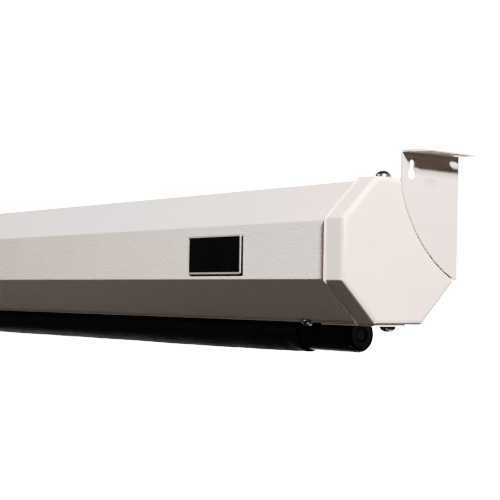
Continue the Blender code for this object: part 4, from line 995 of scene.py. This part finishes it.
for side, end in ENDS:
    bend = HANGER_FOLD + HANGER_SHEET
    bend_at = (plate_x + bend, shelf_z - bend)
    section = [(plate_x, hanger_low.z)] + arc(bend_at, bend, 180, 90, 8)
    section += [(tip_x, shelf_z), (tip_x, shelf_z - HANGER_SHEET)]
    section += arc(bend_at, HANGER_FOLD, 90, 180, 8) + [(plate_face, hanger_low.z)]
    section = [(side * x, z) for x, z in section]
    hanger = cut_sheet("hanger_blank", [section], "Y", hanger_front, hanger_rear)
    through = sorted((side * (plate_x - BEYOND), side * (plate_x + 2 * BEYOND)))
    hanger = take(hanger, cut_sheet("arc_waste", [waste], "X", *through))
    hanger = take(hanger, cut_sheet("keyhole", [keyhole], "X", *through))
    hole_x, hole_y = side * (plate_x + tip_x) / 2, hanger_rear - HOLE_FROM_REAR
    slot = arc((hole_x, hole_y + SHELF_HOLE_LONG), SHELF_HOLE, 0, 180, 20)
    slot += arc((hole_x, hole_y - SHELF_HOLE_LONG), SHELF_HOLE, 180, 360, 20)
    through = (shelf_z - 2 * BEYOND, shelf_z + BEYOND)
    hanger = take(hanger, cut_sheet("shelf_hole", [slot], "Z", *through))
    x, y = tip_x - SHELF_CORNER, hanger_front + SHELF_CORNER
    off = arc((x, y), SHELF_CORNER, 0, -90, 12)
    off += [(x, ahead), (tip_x + BEYOND, ahead), (tip_x + BEYOND, y)]
    off = [(side * x, y) for x, y in off]
    hanger = take(hanger, cut_sheet("corner_waste", [off], "Z", *through))
    bowl = [(MARK_RADIUS * t, -MARK_DEEP * (1 - t * t)) for t in (0, 0.2, 0.4, 0.6, 0.8, 1.1)]
    bowl += [(MARK_RADIUS * 1.1, BEYOND), (0, BEYOND)]
    mark = turned("dent", bowl, (side * plate_face, *MARK_SPOT), (side, 0, 0), 48)
    for corner in mark.data.vertices:
        corner.co.yz = MARK_SPOT + (corner.co.yz - MARK_SPOT) * MARK_SHAPE
    hanger = take(hanger, mark)
    for corner in hanger.data.vertices:
        out = (abs(corner.co.x) - plate_x) / (tip_x - plate_x)
        back = (corner.co.y - hanger_front) / (hanger_rear - hanger_front)
        down = (shelf_z - corner.co.z) / (shelf_z - hanger_low.z)
        if back > 0.97:  # the rear edge
            corner.co.y -= PLATE_TAPER * down
        if out > 0.2:  # the shelf
            corner.co.z += (SHELF_LIFT - SHELF_FALL * back) * out
        if out > 0.95 and corner.co.z < shelf_z - HANGER_SHEET * 0.8:  # the shelf's outer edge, below
            corner.co.z += EDGE_THINNER
    hanger.name = "hanger_bracket_" + end
    soften(hanger, HANGER_EDGE)
    fit(hanger, hanger_paint, "housing", "hanger_" + end, 40)
    keep_plate_flat(hanger)
    # The faces inside the dent get a darker copy of the paint.
    hanger.data.materials.append(darker_dent_paint)
    for face in hanger.data.polygons:
        away = face.center.yz - MARK_SPOT
        sunk = plate_face - abs(face.center.x)
        in_mark = math.hypot(away.x / MARK_SHAPE.x, away.y / MARK_SHAPE.y) < MARK_RADIUS
        if in_mark and 1e-5 < sunk < 2 * MARK_DEEP:
            face.material_index = 1

# Lip supports. A thin white painted plate under each cap, held by the lower cap screw. A narrow strip of it
# runs inboard under the front lip of the slot.

STRIP_WIDTH = 0.008
STRIP_SHOULDER = 0.003  # from the cap's rim
SUPPORT_CORNER = 0.0012
SUPPORT_EDGE = 0.0002
SUPPORT_HOLE = 0.00255
for side, end in ENDS:
    low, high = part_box("lip_support_" + end)
    screw_spot = middle_of("cap_screw_bottom_" + end).xy
    outer, inner = (high.x, low.x) if side > 0 else (low.x, high.x)
    wide = side * (rim_x - STRIP_SHOULDER)
    strip_y = low.y + STRIP_WIDTH
    corners = [(outer, low.y), (outer, high.y), (wide, high.y)]
    corners += [(wide, strip_y), (inner, strip_y), (inner, low.y)]
    outline = [rounded(corners, SUPPORT_CORNER, 4), circle(screw_spot, SUPPORT_HOLE, 24)]
    support = cut_sheet("lip_plate_" + end, outline, "Z", low.z, high.z)
    soften(support, SUPPORT_EDGE)
    fit(support, hanger_paint, "housing", "lip_support_" + end, 40)

# Badge. A bare rectangular plate on the case's front near the right end: a gloss black panel, sunk a little
# in a satin metal frame, on a black block whose lower and right sides slope out to the case. The badge casts
# no shadow; its black lower slope is partly its own side and partly a painted shadow on the case.

FRAME_WIDTH = 0.0015
FRAME_SHEET = 0.0005
FRAME_CORNER = 0.0015
FRAME_EDGE = 0.00015
PANEL_CORNER = 0.0006
PANEL_SUNK = 0.0003
PANEL_EDGE = 0.0001
BLOCK_EDGE = 0.0002
SIDE_SLOPE_AND_PAINTED_SHADOW = 0.0019
badge_low, badge_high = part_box("badge_plate")
badge_silver = finish_material(
    "badge_frame_metal", PLATING, (0.58, 0.57, 0.55), (0.72, 0.71, 0.68), (0.50, 0.65), 0.1, 0.00004,
    Grain_scale=1800.0, Metallic=0.4,
)
badge_black = finish_material(
    "badge_black", MOULDING, (0.004, 0.004, 0.004), (0.009, 0.009, 0.0085), (0.22, 0.32), 0.1, 0.00005,
)


def badge_outline(inward, radius, steps):
    """The badge's rounded outline, moved inward by a distance."""
    step = Vector((inward, inward))
    low, high = badge_low.xz + step, badge_high.xz - step
    return rounded([low, (high.x, low.y), high, (low.x, high.y)], radius, steps)


outside = badge_outline(0, FRAME_CORNER, 6)
window = badge_outline(FRAME_WIDTH, PANEL_CORNER, 4)
frame_back = badge_low.y + FRAME_SHEET
surround = cut_sheet("badge_frame", [outside, window], "Y", badge_low.y, frame_back)
soften(surround, FRAME_EDGE)
panel = cut_sheet("badge_panel", [window], "Y", badge_low.y + PANEL_SUNK, frame_back)
soften(panel, PANEL_EDGE)
block = cut_sheet("badge_block", [outside], "Y", frame_back, badge_high.y)
reach = FRAME_CORNER + 0.0005  # takes in the rounded corners
# The block's rear grows to the right and further down: the wider black below is partly a painted shadow.
for corner in block.data.vertices:
    if corner.co.y > (frame_back + badge_high.y) / 2:  # its rear
        if corner.co.x > badge_high.x - reach:
            corner.co.x += SIDE_SLOPE_AND_PAINTED_SHADOW / 2
        if corner.co.z < badge_low.z + reach:
            corner.co.z -= SIDE_SLOPE_AND_PAINTED_SHADOW
soften(block, BLOCK_EDGE, angle=40)
for piece, finish in ((surround, badge_silver), (panel, badge_black), (block, badge_black)):
    fit(piece, finish, "housing", "badge_plate", 40)
    piece.visible_shadow = False

# Room. A pale floor well below the screen, a key light off the right end, soft lights round the object, and a
# dim warm surround with a white background. One light falls on the lowered screen alone.

floor_mesh = bpy.data.meshes.new("floor")
floor_mesh.from_pydata([(-4, -4, -2), (4, -4, -2), (4, 4, -2), (-4, 4, -2)], [], [(0, 1, 2, 3)])
floor = placed("floor", floor_mesh)
floor_mesh.materials.append(finish_material(
    "floor_pale", MOULDING, (0.74, 0.73, 0.72), (0.80, 0.79, 0.78), (0.6, 0.7), 0.1, 0.001,
))
floor.visible_diffuse = False
floor.visible_glossy = False

# The picture's tones follow a curve with a soft shoulder, up to 2.5 times white.
view = scene.view_settings
view.view_transform = "Standard"
view.use_curve_mapping = True
response = view.curve_mapping
response.white_level = (2.5, 2.5, 2.5)
for light_in, light_out in (
    (0.006, 0.0015), (0.03, 0.022), (0.07, 0.066), (0.25, 0.27), (0.62, 0.63), (1.2, 0.76), (1.45, 0.86),
):
    response.curves[3].points.new(light_in / 2.5, light_out)
response.update()

AIM = (1.0, -0.05, -0.08)
NO_SHINE = ("left_fill", "back_fill", "ground", "screen_fill")
for name, spot, faces, size, power, colour in (
    ("key", (3.22, -0.95, 1.72), AIM, (0.56, 0.56), 203.0, (1, 1, 1)),
    ("front", (0.1, -1.65, 1.37), AIM, (1.4, 1.0), 9.6, (1, 0.98, 0.97)),
    ("behind", (-1.58, 1.45, -0.68), AIM, (3.0, 1.6), 18.0, (1, 0.97, 0.94)),
    ("bounce", (1.204, -0.56, -1.695), AIM, (0.28, 0.28), 1.1, (1, 0.94, 0.88)),
    ("rear", (0.89, 0.94, -2.06), AIM, (1.0, 1.0), 4.6, (1, 0.95, 0.90)),
    ("beside", (3.28, 1.90, -0.08), AIM, (0.8, 0.8), 1.2, (1, 0.97, 0.94)),
    ("left_fill", (-3.8, -0.1, 0.1), (-1.1, -0.1, -0.1), (1.2, 1.2), 70.0, (1, 0.98, 0.96)),
    ("back_fill", (-0.2, 3.0, 0.7), (-0.2, 0.0, -0.1), (3.0, 1.4), 110.0, (1, 0.98, 0.96)),
    ("ground", (0, 0, -1.8), (0, 0, -2), (8.0, 8.0), 240.0, (1, 1, 1)),
    ("screen_fill", (0, -3.2, -0.9), (0, 0, -0.8), (2.6, 1.4), 78.0, (1, 1, 1)),
):
    data = bpy.data.lights.new(name, "AREA")
    data.shape = "RECTANGLE"
    data.size, data.size_y = size
    data.energy = power
    data.color = colour
    light = placed(name, data)
    light.location = spot
    light.rotation_mode = "QUATERNION"
    light.rotation_quaternion = (Vector(spot) - Vector(faces)).to_track_quat("Z", "Y")
    light.visible_camera = False
    light.visible_glossy = name not in NO_SHINE
lit_pieces = bpy.data.collections.new("lowered_screen")
lit_pieces.objects.link(free)
bpy.data.objects["screen_fill"].light_linking.receiver_collection = lit_pieces
scene.world = bpy.data.worlds.new("world")
scene.world.use_nodes = True
tree = scene.world.node_tree
dim = tree.nodes["Background"]
dim.inputs["Color"].default_value = (1.0, 0.94, 0.87, 1)
dim.inputs["Strength"].default_value = 0.040
backdrop = shader_node(tree, "Background", Color=(1, 1, 1, 1), Strength=3.0)
seen = shader_node(tree, "MixShader", Fac=shader_node(tree, "LightPath").outputs["Is Camera Ray"])
feed(tree, seen.inputs[1], dim.outputs["Background"])
feed(tree, seen.inputs[2], backdrop.outputs["Background"])
feed(tree, tree.nodes["World Output"].inputs["Surface"], seen.outputs["Shader"])
